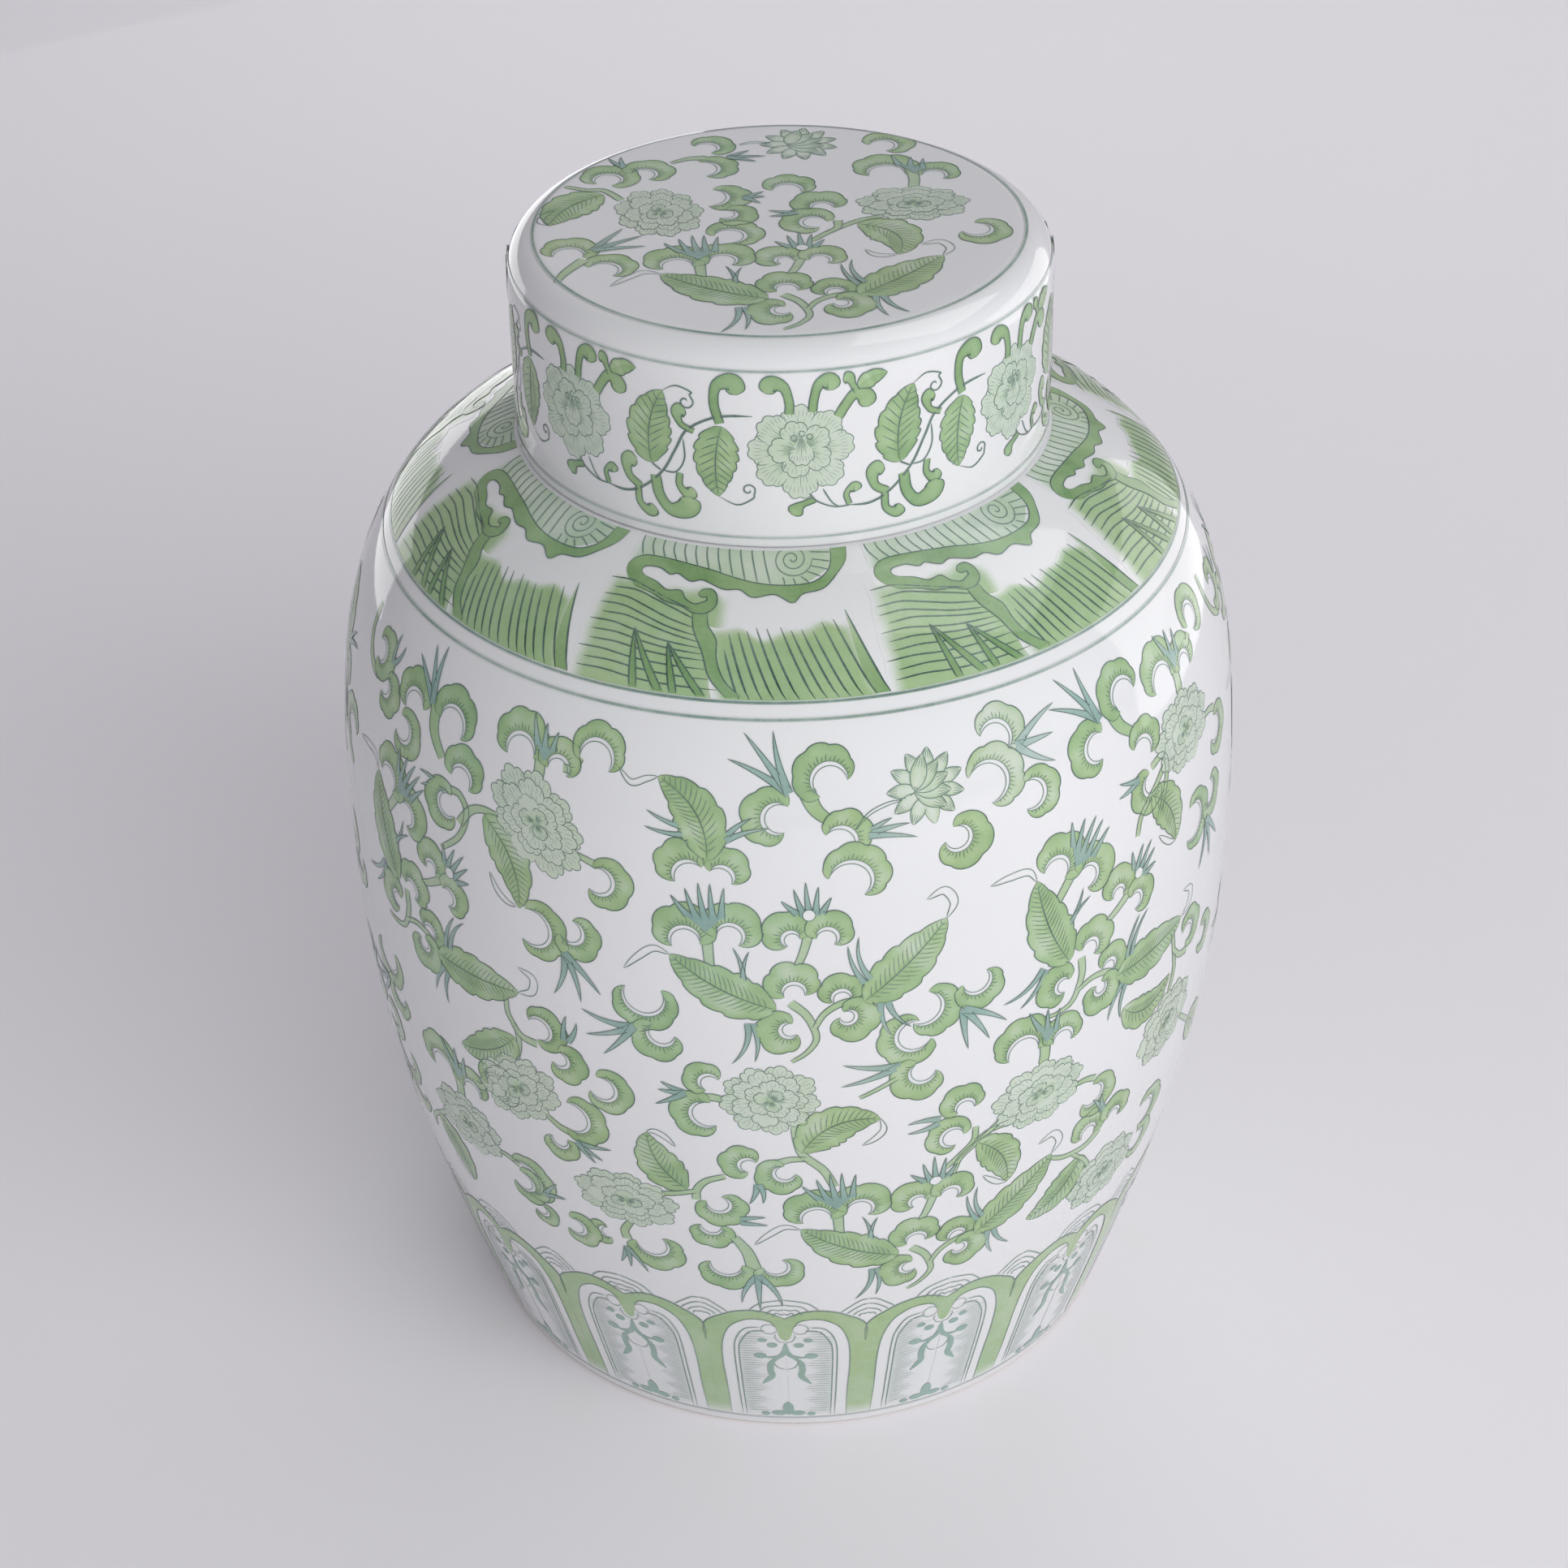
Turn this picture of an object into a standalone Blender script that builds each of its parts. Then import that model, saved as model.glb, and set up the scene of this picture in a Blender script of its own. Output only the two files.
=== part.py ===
"""A lidded porcelain ginger jar: a thrown, hollow jar with a short neck, and a flat-topped cap lid.

The jar stands on z = 0 and turns about the Z axis, which is also the origin. Metres throughout.
Both pieces are turned shapes. Each is one closed outline, drawn once round its half section and spun.
The lid slips over the neck and stands on a level ledge round the neck's root.
"""

import math

import bmesh
import bpy

# Jar, outside
FOOT_RADIUS = 0.098
FOOT_LEAN = math.radians(72.0)  # slope of the wall where it leaves the foot, from level
BELLY_RADIUS = 0.130
BELLY_HEIGHT = 0.178
LEDGE_HEIGHT = 0.292
SHOULDER_SLOPE = math.radians(20.0)  # slope of the shoulder where it meets the ledge, from level
LEDGE_MARGIN = 0.0008  # how far the ledge shows outside the lid

# Jar, inside and underneath
JAR_WALL = 0.006
JAR_FLOOR = 0.008
FOOT_RING_WIDTH = 0.009
FOOT_RECESS = 0.006
FOOT_ROUND = 0.0015

# Lid
LID_RADIUS = 0.074
LID_HEIGHT = 0.058
LID_WALL = 0.006
LID_TOP = 0.007
LID_ROUND = 0.010  # big rounding where the flat top turns into the skirt
LID_INNER_ROUND = 0.005
LID_RIM_ROUND = 0.0012

# Fits
NECK_WALL = 0.0055
NECK_CLEARANCE = 0.0035  # between the neck and the lid's skirt, all round
NECK_HEADROOM = 0.017  # between the neck's rim and the lid's ceiling
NECK_ROOT_ROUND = 0.002
SEAT_GAP = 0.0003  # the lid's rim stands this far above the ledge

# How far each curve of the wall holds its starting direction, as a share of the span it crosses
FOOT_HOLD = 0.56
BELLY_HOLD_BELOW = 0.26
BELLY_HOLD_ABOVE = 0.68
SHOULDER_HOLD = 0.75

# Fineness
TURN_STEPS = 48
WALL_STEPS = 9
ROUND_STEPS = 4

NECK_RADIUS = LID_RADIUS - LID_WALL - NECK_CLEARANCE
NECK_HEIGHT = LID_HEIGHT - LID_TOP - NECK_HEADROOM
BORE_RADIUS = NECK_RADIUS - NECK_WALL
LEDGE_RADIUS = LID_RADIUS + LEDGE_MARGIN


def clear_scene():
    for thing in list(bpy.data.objects):
        bpy.data.objects.remove(thing, do_unlink=True)


def curve(start, start_pull, end_pull, end, steps):
    """Points of a cubic Bezier curve from start to end, both ends included."""
    points = []
    for i in range(steps + 1):
        t = i / steps
        u = 1 - t
        weights = (u**3, 3 * u**2 * t, 3 * u * t**2, t**3)
        ends = (start, start_pull, end_pull, end)
        points.append(tuple(sum(w * p[k] for w, p in zip(weights, ends)) for k in (0, 1)))
    return points


def arc(centre, radius, first, last, steps=ROUND_STEPS):
    """Points of an arc, both ends included. Angles in degrees from the +radius direction."""
    points = []
    for i in range(steps + 1):
        angle = math.radians(first + (last - first) * i / steps)
        points.append((centre[0] + radius * math.cos(angle), centre[1] + radius * math.sin(angle)))
    return points


def lower_wall():
    """The outside of the jar from the foot up to the belly."""
    hold = FOOT_HOLD * BELLY_HEIGHT
    start = (FOOT_RADIUS, 0.0)
    start_pull = (FOOT_RADIUS + hold * math.cos(FOOT_LEAN), hold * math.sin(FOOT_LEAN))
    end_pull = (BELLY_RADIUS, BELLY_HEIGHT * (1 - BELLY_HOLD_BELOW))
    return curve(start, start_pull, end_pull, (BELLY_RADIUS, BELLY_HEIGHT), WALL_STEPS)


def upper_wall():
    """The outside of the jar from the belly over the shoulder to the ledge."""
    rise = LEDGE_HEIGHT - BELLY_HEIGHT
    hold = SHOULDER_HOLD * (BELLY_RADIUS - LEDGE_RADIUS)
    start_pull = (BELLY_RADIUS, BELLY_HEIGHT + BELLY_HOLD_ABOVE * rise)
    end_pull = (
        LEDGE_RADIUS + hold * math.cos(SHOULDER_SLOPE),
        LEDGE_HEIGHT - hold * math.sin(SHOULDER_SLOPE),
    )
    start = (BELLY_RADIUS, BELLY_HEIGHT)
    return curve(start, start_pull, end_pull, (LEDGE_RADIUS, LEDGE_HEIGHT), WALL_STEPS)


def inset(outline, depth):
    """The outline moved inwards, square to itself, by depth. The outline runs upwards on the outside."""
    moved = []
    for i, (radius, height) in enumerate(outline):
        before = outline[max(i - 1, 0)]
        after = outline[min(i + 1, len(outline) - 1)]
        run = (after[0] - before[0], after[1] - before[1])
        length = math.hypot(*run)
        moved.append((radius - depth * run[1] / length, height + depth * run[0] / length))
    return moved


def jar_outline():
    outer = lower_wall() + upper_wall()[1:]
    ring_inner = FOOT_RADIUS - FOOT_RING_WIDTH
    floor_height = FOOT_RECESS + JAR_FLOOR
    neck_top = LEDGE_HEIGHT + NECK_HEIGHT
    rim_round = NECK_WALL / 2
    foot_edge = arc((FOOT_RADIUS - FOOT_ROUND, FOOT_ROUND), FOOT_ROUND, -90, -20)
    underside = [
        (0.0, FOOT_RECESS),
        (ring_inner - FOOT_ROUND, FOOT_RECESS),
        (ring_inner, FOOT_RECESS - FOOT_ROUND),
        (ring_inner, FOOT_ROUND),
        (ring_inner + FOOT_ROUND, 0.0),
    ]
    outside = [point for point in outer if point[1] > 2 * FOOT_ROUND]
    root = (NECK_RADIUS + NECK_ROOT_ROUND, LEDGE_HEIGHT + NECK_ROOT_ROUND)
    neck_root = arc(root, NECK_ROOT_ROUND, -90, -180)
    rim = arc((NECK_RADIUS - rim_round, neck_top - rim_round), rim_round, 0, 180, 2 * ROUND_STEPS)
    hollow = [
        point
        for point in reversed(inset(outer, JAR_WALL))
        if point[0] > BORE_RADIUS + JAR_WALL and point[1] > floor_height + JAR_WALL
    ]
    throat_centre = (BORE_RADIUS + NECK_ROOT_ROUND, LEDGE_HEIGHT - JAR_WALL + NECK_ROOT_ROUND)
    throat = arc(throat_centre, NECK_ROOT_ROUND, 180, 270)
    corner = hollow[-1][0] - JAR_WALL
    floor = [(corner, floor_height), (0.0, floor_height)]
    return underside + foot_edge + outside + neck_root + rim + throat + hollow + floor


def lid_outline():
    rim = LEDGE_HEIGHT + SEAT_GAP
    top = LEDGE_HEIGHT + LID_HEIGHT
    ceiling = top - LID_TOP
    inner = LID_RADIUS - LID_WALL
    outer_edge = arc((LID_RADIUS - LID_RIM_ROUND, rim + LID_RIM_ROUND), LID_RIM_ROUND, -90, 0)
    big_round = arc((LID_RADIUS - LID_ROUND, top - LID_ROUND), LID_ROUND, 0, 90, 2 * ROUND_STEPS)
    inner_edge = arc((inner + LID_RIM_ROUND, rim + LID_RIM_ROUND), LID_RIM_ROUND, 180, 270)
    inner_round = arc((inner - LID_INNER_ROUND, ceiling - LID_INNER_ROUND), LID_INNER_ROUND, 90, 0)
    return [(0.0, ceiling)] + inner_round + inner_edge + outer_edge + big_round + [(0.0, top)]


def glaze(name, colour, roughness):
    material = bpy.data.materials.new(name)
    material.use_nodes = True
    shader = material.node_tree.nodes["Principled BSDF"]
    shader.inputs["Base Color"].default_value = (*colour, 1.0)
    shader.inputs["Roughness"].default_value = roughness
    shader.inputs["Metallic"].default_value = 0.0
    return material


def turned(name, outline, material):
    """One closed solid: the outline spun a full turn about Z, with its ends merged on the axis."""
    shape = bmesh.new()
    points = [shape.verts.new((radius, 0.0, height)) for radius, height in outline]
    edges = [shape.edges.new(pair) for pair in zip(points, points[1:])]
    bmesh.ops.spin(
        shape,
        geom=points + edges,
        cent=(0.0, 0.0, 0.0),
        axis=(0.0, 0.0, 1.0),
        angle=2 * math.pi,
        steps=TURN_STEPS,
        use_merge=True,
    )
    bmesh.ops.remove_doubles(shape, verts=shape.verts, dist=1e-6)
    bmesh.ops.recalc_face_normals(shape, faces=shape.faces)
    mesh = bpy.data.meshes.new(name)
    shape.to_mesh(mesh)
    shape.free()
    mesh.materials.append(material)
    mesh.shade_smooth()
    mesh.set_sharp_from_angle(angle=math.radians(35))
    piece = bpy.data.objects.new(name, mesh)
    bpy.context.scene.collection.objects.link(piece)
    return piece


clear_scene()
turned("jar_body", jar_outline(), glaze("jar_glaze", (0.80, 0.83, 0.83), 0.12))
turned("lid", lid_outline(), glaze("lid_glaze", (0.80, 0.83, 0.83), 0.12))
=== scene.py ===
# %% [markdown]
# # A painted porcelain ginger jar
# The jar is two fired pieces: a tall shouldered body with an upright neck, and a
# cap-shaped lid that drops over the neck and rests on a narrow ledge. Both are
# white porcelain under a clear, wet-looking glaze. All the colour is brushwork
# under that glaze: green washes, teal thorns and fine grey-green outlines.
#
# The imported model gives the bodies, the joint and every size. This script throws
# finer shells on the same curves, and then paints them with real thin layers of
# colour that follow the pot's surface.

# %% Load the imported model
import math

import bpy
import numpy as np
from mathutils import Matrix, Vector


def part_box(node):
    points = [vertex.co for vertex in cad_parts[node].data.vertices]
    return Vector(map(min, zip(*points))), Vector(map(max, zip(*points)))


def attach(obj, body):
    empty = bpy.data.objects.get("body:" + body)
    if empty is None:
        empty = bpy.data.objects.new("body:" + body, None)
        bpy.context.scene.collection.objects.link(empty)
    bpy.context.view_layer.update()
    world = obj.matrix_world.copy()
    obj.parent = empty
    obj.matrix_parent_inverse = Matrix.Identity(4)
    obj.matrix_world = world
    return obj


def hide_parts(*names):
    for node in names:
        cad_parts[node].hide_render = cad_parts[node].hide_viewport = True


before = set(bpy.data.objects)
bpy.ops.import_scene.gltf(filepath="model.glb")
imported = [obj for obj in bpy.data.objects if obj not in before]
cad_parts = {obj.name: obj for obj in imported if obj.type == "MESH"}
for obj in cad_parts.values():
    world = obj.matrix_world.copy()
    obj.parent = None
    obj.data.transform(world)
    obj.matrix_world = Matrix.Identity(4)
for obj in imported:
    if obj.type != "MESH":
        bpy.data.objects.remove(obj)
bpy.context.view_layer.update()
JAR_LOW, JAR_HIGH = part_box("jar_body")
LID_LOW, LID_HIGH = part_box("lid")

# %% [markdown]
# ## Sizes
# A thrown pot is easiest to think of as one outline turned round its axis. The
# driving sizes below are in millimetres, and the largest ones come straight from
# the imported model, so the shells and the model can't drift apart. The wall is two
# cubic curves that meet at the belly.

# %% Sizes of the jar and the lid, in millimetres
MM = 0.001
BELLY_RADIUS = JAR_HIGH.x / MM
LID_RADIUS = LID_HIGH.x / MM
LID_FOOT = LID_LOW.z / MM
TOP = LID_HIGH.z / MM
NECK_TOP = JAR_HIGH.z / MM

FOOT_RADIUS = 98.0
FOOT_LEAN = math.radians(72.0)
BELLY_HEIGHT = 178.0
LEDGE_HEIGHT = LID_FOOT - 0.3
LEDGE_RADIUS = LID_RADIUS + 0.8
SHOULDER_SLOPE = math.radians(20.0)
FOOT_HOLD = 0.56
BELLY_HOLD_BELOW = 0.26
BELLY_HOLD_ABOVE = 0.68
SHOULDER_HOLD = 0.75

WALL = 6.0
JAR_FLOOR = 8.0
FOOT_RING = 9.0
FOOT_RECESS = 6.0
FOOT_ROUND = 1.5
NECK_RADIUS = 64.5
NECK_WALL = 5.5
LID_TOP_WALL = 7.0
LID_ROUND = 10.0
LID_INNER_ROUND = 5.0
LID_RIM_ROUND = 1.2
TURNS = 240

# %% [markdown]
# ## The outline
# Each function returns points as (radius, height). An arc is a stretch of circle,
# a cubic is the usual four-point curve, and `offset_inwards` moves a curve to the
# inner face of the wall along its own normals, so the wall keeps its thickness.

# %% Curves in the plane of the outline
def arc(centre, radius, first, last, steps=6):
    """Points centre + radius * (cos a, sin a), for angles a from first to last in degrees."""
    angle = np.radians(np.linspace(first, last, steps + 1))
    return np.stack([centre[0] + radius * np.cos(angle), centre[1] + radius * np.sin(angle)], 1)


def cubic(start, pull, end_pull, end, steps):
    """Bernstein form: (1-t)^3 start + 3(1-t)^2 t pull + 3(1-t) t^2 end_pull + t^3 end."""
    t = np.linspace(0, 1, steps + 1)[:, None]
    points = (1 - t) ** 3 * start + 3 * (1 - t) ** 2 * t * pull
    return points + 3 * (1 - t) * t**2 * end_pull + t**3 * end


def offset_inwards(points, depth):
    """Each point moved by depth along the curve's left-hand normal, towards the axis."""
    along = np.gradient(points, axis=0)
    along /= np.linalg.norm(along, axis=1)[:, None]
    return points + depth * np.stack([-along[:, 1], along[:, 0]], 1)


def outer_wall(steps):
    """The wall from the foot's edge up to the lid's ledge: one cubic to the belly and one above it."""
    hold = FOOT_HOLD * BELLY_HEIGHT
    lower = cubic(
        np.array([FOOT_RADIUS, 0.0]),
        np.array([FOOT_RADIUS + hold * math.cos(FOOT_LEAN), hold * math.sin(FOOT_LEAN)]),
        np.array([BELLY_RADIUS, BELLY_HEIGHT * (1 - BELLY_HOLD_BELOW)]),
        np.array([BELLY_RADIUS, BELLY_HEIGHT]),
        steps,
    )
    rise = LEDGE_HEIGHT - BELLY_HEIGHT
    hold = SHOULDER_HOLD * (BELLY_RADIUS - LEDGE_RADIUS)
    upper = cubic(
        np.array([BELLY_RADIUS, BELLY_HEIGHT]),
        np.array([BELLY_RADIUS, BELLY_HEIGHT + BELLY_HOLD_ABOVE * rise]),
        np.array([LEDGE_RADIUS + hold * math.cos(SHOULDER_SLOPE),
                  LEDGE_HEIGHT - hold * math.sin(SHOULDER_SLOPE)]),
        np.array([LEDGE_RADIUS, LEDGE_HEIGHT]),
        steps,
    )
    return np.vstack([lower, upper[1:]])


wall_curve = outer_wall(80)
print("wall points:", len(wall_curve))

# %% The two closed outlines
def jar_outline():
    """Axis to axis: under the foot, up the wall, over the neck and down the inside."""
    foot_inner = FOOT_RADIUS - FOOT_RING
    recess = [[0, FOOT_RECESS], [45, FOOT_RECESS], [foot_inner - FOOT_ROUND, FOOT_RECESS],
              [foot_inner - 0.4, FOOT_RECESS - 0.4], [foot_inner, FOOT_RECESS - FOOT_ROUND]]
    wall = wall_curve[wall_curve[:, 1] > FOOT_ROUND * 1.3]
    neck_root = LEDGE_HEIGHT + 2
    rim = (NECK_RADIUS - NECK_WALL / 2, NECK_TOP - NECK_WALL / 2)
    bore = NECK_RADIUS - NECK_WALL
    inside = offset_inwards(wall_curve, WALL)
    inside = inside[(inside[:, 1] > JAR_FLOOR + FOOT_RECESS + 2) & (inside[:, 0] > bore + 1)]
    floor_edge = np.interp(JAR_FLOOR + FOOT_RECESS, wall_curve[:, 1], wall_curve[:, 0]) - WALL
    return np.vstack([
        recess,
        [[foot_inner, FOOT_ROUND]],
        [[foot_inner + FOOT_ROUND, 0.0]],
        [[FOOT_RADIUS - FOOT_ROUND, 0.0]],
        arc((FOOT_RADIUS - FOOT_ROUND + 0.3, FOOT_ROUND), FOOT_ROUND, -70, -12, 5),
        wall,
        [[LEDGE_RADIUS - 4, LEDGE_HEIGHT], [NECK_RADIUS + 2, LEDGE_HEIGHT]],
        arc((NECK_RADIUS + 2, neck_root), 2, 255, 180, 5),
        [[NECK_RADIUS, LEDGE_HEIGHT + 15]],
        arc(rim, NECK_WALL / 2, 0, 180, 14),
        [[bore, LEDGE_HEIGHT + 15], [bore, LEDGE_HEIGHT - 4]],
        arc((bore + 2, LEDGE_HEIGHT - 4), 2, 195, 250, 4),
        inside[::-1],
        [[floor_edge - 1.5, JAR_FLOOR + FOOT_RECESS], [60, JAR_FLOOR + FOOT_RECESS],
         [0, JAR_FLOOR + FOOT_RECESS]],
    ])


def lid_outline():
    """Axis to axis: the ceiling, the skirt's inner face, the rim, the outer face and the top."""
    inner = LID_RADIUS - WALL
    ceiling = TOP - LID_TOP_WALL
    rim = LID_RIM_ROUND
    return np.vstack([
        [[0, ceiling], [30, ceiling]],
        arc((inner - LID_INNER_ROUND, ceiling - LID_INNER_ROUND), LID_INNER_ROUND, 90, 0, 8),
        [[inner, LID_FOOT + 25]],
        arc((inner + rim, LID_FOOT + rim), rim, 180, 270, 5),
        arc((LID_RADIUS - rim, LID_FOOT + rim), rim, 270, 360, 5),
        np.stack([np.full(19, LID_RADIUS), np.linspace(LID_FOOT + 4, TOP - LID_ROUND - 2, 19)], 1),
        arc((LID_RADIUS - LID_ROUND, TOP - LID_ROUND), LID_ROUND, 0, 90, 20),
        np.stack([np.linspace(58, 0, 9), np.full(9, TOP)], 1),
    ])


# %% Turn an outline into a closed shell
def new_mesh(name, points, faces, material, body, slot):
    """A mesh object from points in millimetres, riding on its body."""
    mesh = bpy.data.meshes.new(name)
    mesh.from_pydata(np.asarray(points) * MM, [], faces)
    mesh.polygons.foreach_set("use_smooth", np.ones(len(mesh.polygons), bool))
    mesh.materials.append(material)
    piece = bpy.data.objects.new(name, mesh)
    bpy.context.scene.collection.objects.link(piece)
    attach(piece, body)
    return piece


def turned(outline):
    """(r, z) at angle a becomes (r cos a, r sin a, z). The axis ends are single points joined by fans."""
    rings = outline[1:-1]
    angle = np.linspace(0, 2 * np.pi, TURNS, endpoint=False)
    radius, height = rings[:, :1], rings[:, 1:]
    grid = np.stack([radius * np.cos(angle), radius * np.sin(angle), height + 0 * angle], -1)
    points = np.vstack([grid.reshape(-1, 3), [[0, 0, outline[0, 1]]], [[0, 0, outline[-1, 1]]]])
    row, column = np.meshgrid(np.arange(len(rings) - 1), np.arange(TURNS), indexing="ij")
    after = (column + 1) % TURNS
    first, second = row * TURNS + column, row * TURNS + after
    quads = np.stack([first, second, second + TURNS, first + TURNS], -1).reshape(-1, 4)
    ring = np.arange(TURNS)
    onwards = (ring + 1) % TURNS
    start, end = len(points) - 2, len(points) - 1
    last = (len(rings) - 1) * TURNS
    fans = [np.stack([np.full(TURNS, start), onwards, ring], 1),
            np.stack([np.full(TURNS, end), last + ring, last + onwards], 1)]
    return points, quads.tolist() + fans[0].tolist() + fans[1].tolist()


# %% [markdown]
# ## Glaze and paint
# The whole jar is one clear glaze, so every colour shares the same gloss and the
# same faint unevenness: a low, slow ripple in the glaze that bends reflections a
# little. That ripple and the fine mottling of the colour are node groups. The white
# body is not quite pure, and a few iron specks sit in it. The foot ring is wiped
# clean of glaze, so there the bare clay shows, duller and creamier.
#
# Paint is read from each piece's own map: across it lies the strength of the wash,
# from bare glaze to full colour, and up it lies how warm the green is.

# %% Shared node groups
def add(tree, kind, **values):
    """A node with its settings and socket values set by name."""
    node = tree.nodes.new(kind)
    for name, value in values.items():
        if name in node.inputs:
            node.inputs[name].default_value = value
        else:
            setattr(node, name, value)
    return node


def mix_colours(tree, factor, first, second):
    """A colour mix whose second colour is a constant or a socket.
    The node's colour sockets share their names, so they are reached by number."""
    node = add(tree, "ShaderNodeMix", data_type="RGBA")
    tree.links.new(factor, node.inputs[0])
    tree.links.new(first, node.inputs[6])
    if isinstance(second, tuple):
        node.inputs[7].default_value = second
    else:
        tree.links.new(second, node.inputs[7])
    return node.outputs[2]


def start_group(name, inputs, output, output_kind):
    """An empty node group with named float inputs and one output."""
    tree = bpy.data.node_groups.new(name, "ShaderNodeTree")
    for label, value in inputs.items():
        socket = tree.interface.new_socket(label, in_out="INPUT", socket_type="NodeSocketFloat")
        socket.default_value = value
    tree.interface.new_socket(output, in_out="OUTPUT", socket_type=output_kind)
    return tree, tree.nodes.new("NodeGroupInput"), tree.nodes.new("NodeGroupOutput")


def glaze_ripple_group():
    """Height of the glaze: a slow swell plus a fine orange-peel, as one number for a Bump node."""
    tree, given, result = start_group("glaze_ripple", {"Swell": 1.0, "Peel": 0.12},
                                      "Height", "NodeSocketFloat")
    place = add(tree, "ShaderNodeTexCoord")
    swell = add(tree, "ShaderNodeTexNoise", Scale=34.0, Detail=1.0)
    peel = add(tree, "ShaderNodeTexNoise", Scale=420.0, Detail=1.0)
    big = add(tree, "ShaderNodeMath", operation="MULTIPLY")
    small = add(tree, "ShaderNodeMath", operation="MULTIPLY")
    total = add(tree, "ShaderNodeMath", operation="ADD")
    for noise, part, label in ((swell, big, "Swell"), (peel, small, "Peel")):
        tree.links.new(place.outputs["Object"], noise.inputs["Vector"])
        tree.links.new(noise.outputs["Fac"], part.inputs[0])
        tree.links.new(given.outputs[label], part.inputs[1])
    tree.links.new(big.outputs[0], total.inputs[0])
    tree.links.new(small.outputs[0], total.inputs[1])
    tree.links.new(total.outputs[0], result.inputs["Height"])
    return tree


def mottle_group():
    """Pigment gathering in specks and clouds: one factor about 1 that multiplies a wash's strength."""
    tree, given, result = start_group("pigment_mottle", {"Cloud": 0.2, "Speck": 0.15},
                                      "Factor", "NodeSocketFloat")
    place = add(tree, "ShaderNodeTexCoord")
    total = add(tree, "ShaderNodeValue")
    total.outputs[0].default_value = 1.0
    for label, scale in (("Cloud", 150.0), ("Speck", 900.0)):
        noise = add(tree, "ShaderNodeTexNoise", Scale=scale, Detail=3.0)
        centred = add(tree, "ShaderNodeMath", operation="SUBTRACT")
        centred.inputs[1].default_value = 0.5
        part = add(tree, "ShaderNodeMath", operation="MULTIPLY_ADD")
        tree.links.new(place.outputs["Object"], noise.inputs["Vector"])
        tree.links.new(noise.outputs["Fac"], centred.inputs[0])
        tree.links.new(centred.outputs[0], part.inputs[0])
        tree.links.new(given.outputs[label], part.inputs[1])
        tree.links.new(total.outputs[0], part.inputs[2])
        total = part
    tree.links.new(total.outputs[0], result.inputs["Factor"])
    return tree


ripple_group = glaze_ripple_group()
mottle = mottle_group()
print("node groups:", ripple_group.name, mottle.name)

# %% The clear glaze that every material wears
GLAZE_ROUGHNESS = 0.07
PORCELAIN = (0.80, 0.808, 0.812, 1.0)
IRON_SPECK = (0.09, 0.055, 0.035, 1.0)
BARE_CLAY = (0.70, 0.655, 0.585, 1.0)


def glazed(name):
    """A new material with the glaze's gloss and ripple, and nothing yet in its Base Color."""
    material = bpy.data.materials.new(name)
    material.use_nodes = True
    tree = material.node_tree
    shader = tree.nodes["Principled BSDF"]
    shader.inputs["Roughness"].default_value = GLAZE_ROUGHNESS
    shader.inputs["IOR"].default_value = 1.52
    ripple = add(tree, "ShaderNodeGroup", node_tree=ripple_group)
    bump = add(tree, "ShaderNodeBump", Strength=0.16, Distance=0.0006)
    tree.links.new(ripple.outputs["Height"], bump.inputs["Height"])
    tree.links.new(bump.outputs["Normal"], shader.inputs["Normal"])
    return material, tree, shader


def porcelain_material():
    """White body: faint cool and warm clouds, rare iron specks, and bare clay on the foot ring."""
    material, tree, shader = glazed("porcelain_white")
    place = add(tree, "ShaderNodeTexCoord")
    cloud = add(tree, "ShaderNodeTexNoise", Scale=11.0, Detail=3.0)
    tint = add(tree, "ShaderNodeValToRGB")
    tint.color_ramp.elements[0].position = 0.3
    tint.color_ramp.elements[0].color = (0.775, 0.788, 0.79, 1)
    tint.color_ramp.elements[1].position = 0.7
    tint.color_ramp.elements[1].color = PORCELAIN
    cells = add(tree, "ShaderNodeTexVoronoi", Scale=42.0, Randomness=1.0)
    rare = add(tree, "ShaderNodeTexNoise", Scale=9.0, Detail=0.0)
    near = add(tree, "ShaderNodeMapRange", interpolation_type="SMOOTHSTEP")
    near.inputs["From Min"].default_value = 0.012
    near.inputs["From Max"].default_value = 0.030
    near.inputs["To Min"].default_value = 1.0
    near.inputs["To Max"].default_value = 0.0
    picked = add(tree, "ShaderNodeMath", operation="GREATER_THAN")
    picked.inputs[1].default_value = 0.56
    speck = add(tree, "ShaderNodeMath", operation="MULTIPLY")
    split = add(tree, "ShaderNodeSeparateXYZ")
    bare = add(tree, "ShaderNodeMapRange", interpolation_type="SMOOTHSTEP")
    bare.inputs["From Min"].default_value = 0.0006
    bare.inputs["From Max"].default_value = 0.0014
    bare.inputs["To Min"].default_value = 1.0
    bare.inputs["To Max"].default_value = 0.0
    matt = add(tree, "ShaderNodeMapRange")
    matt.inputs["To Min"].default_value = GLAZE_ROUGHNESS
    matt.inputs["To Max"].default_value = 0.65
    link = tree.links.new
    for node in (cloud, cells, rare):
        link(place.outputs["Object"], node.inputs["Vector"])
    link(place.outputs["Object"], split.inputs[0])
    link(cloud.outputs["Fac"], tint.inputs["Fac"])
    link(cells.outputs["Distance"], near.inputs["Value"])
    link(rare.outputs["Fac"], picked.inputs[0])
    link(near.outputs["Result"], speck.inputs[0])
    link(picked.outputs[0], speck.inputs[1])
    link(split.outputs["Z"], bare.inputs["Value"])
    specked = mix_colours(tree, speck.outputs[0], tint.outputs["Color"], IRON_SPECK)
    link(mix_colours(tree, bare.outputs["Result"], specked, BARE_CLAY), shader.inputs["Base Color"])
    link(bare.outputs["Result"], matt.inputs["Value"])
    link(matt.outputs["Result"], shader.inputs["Roughness"])
    return material


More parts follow.
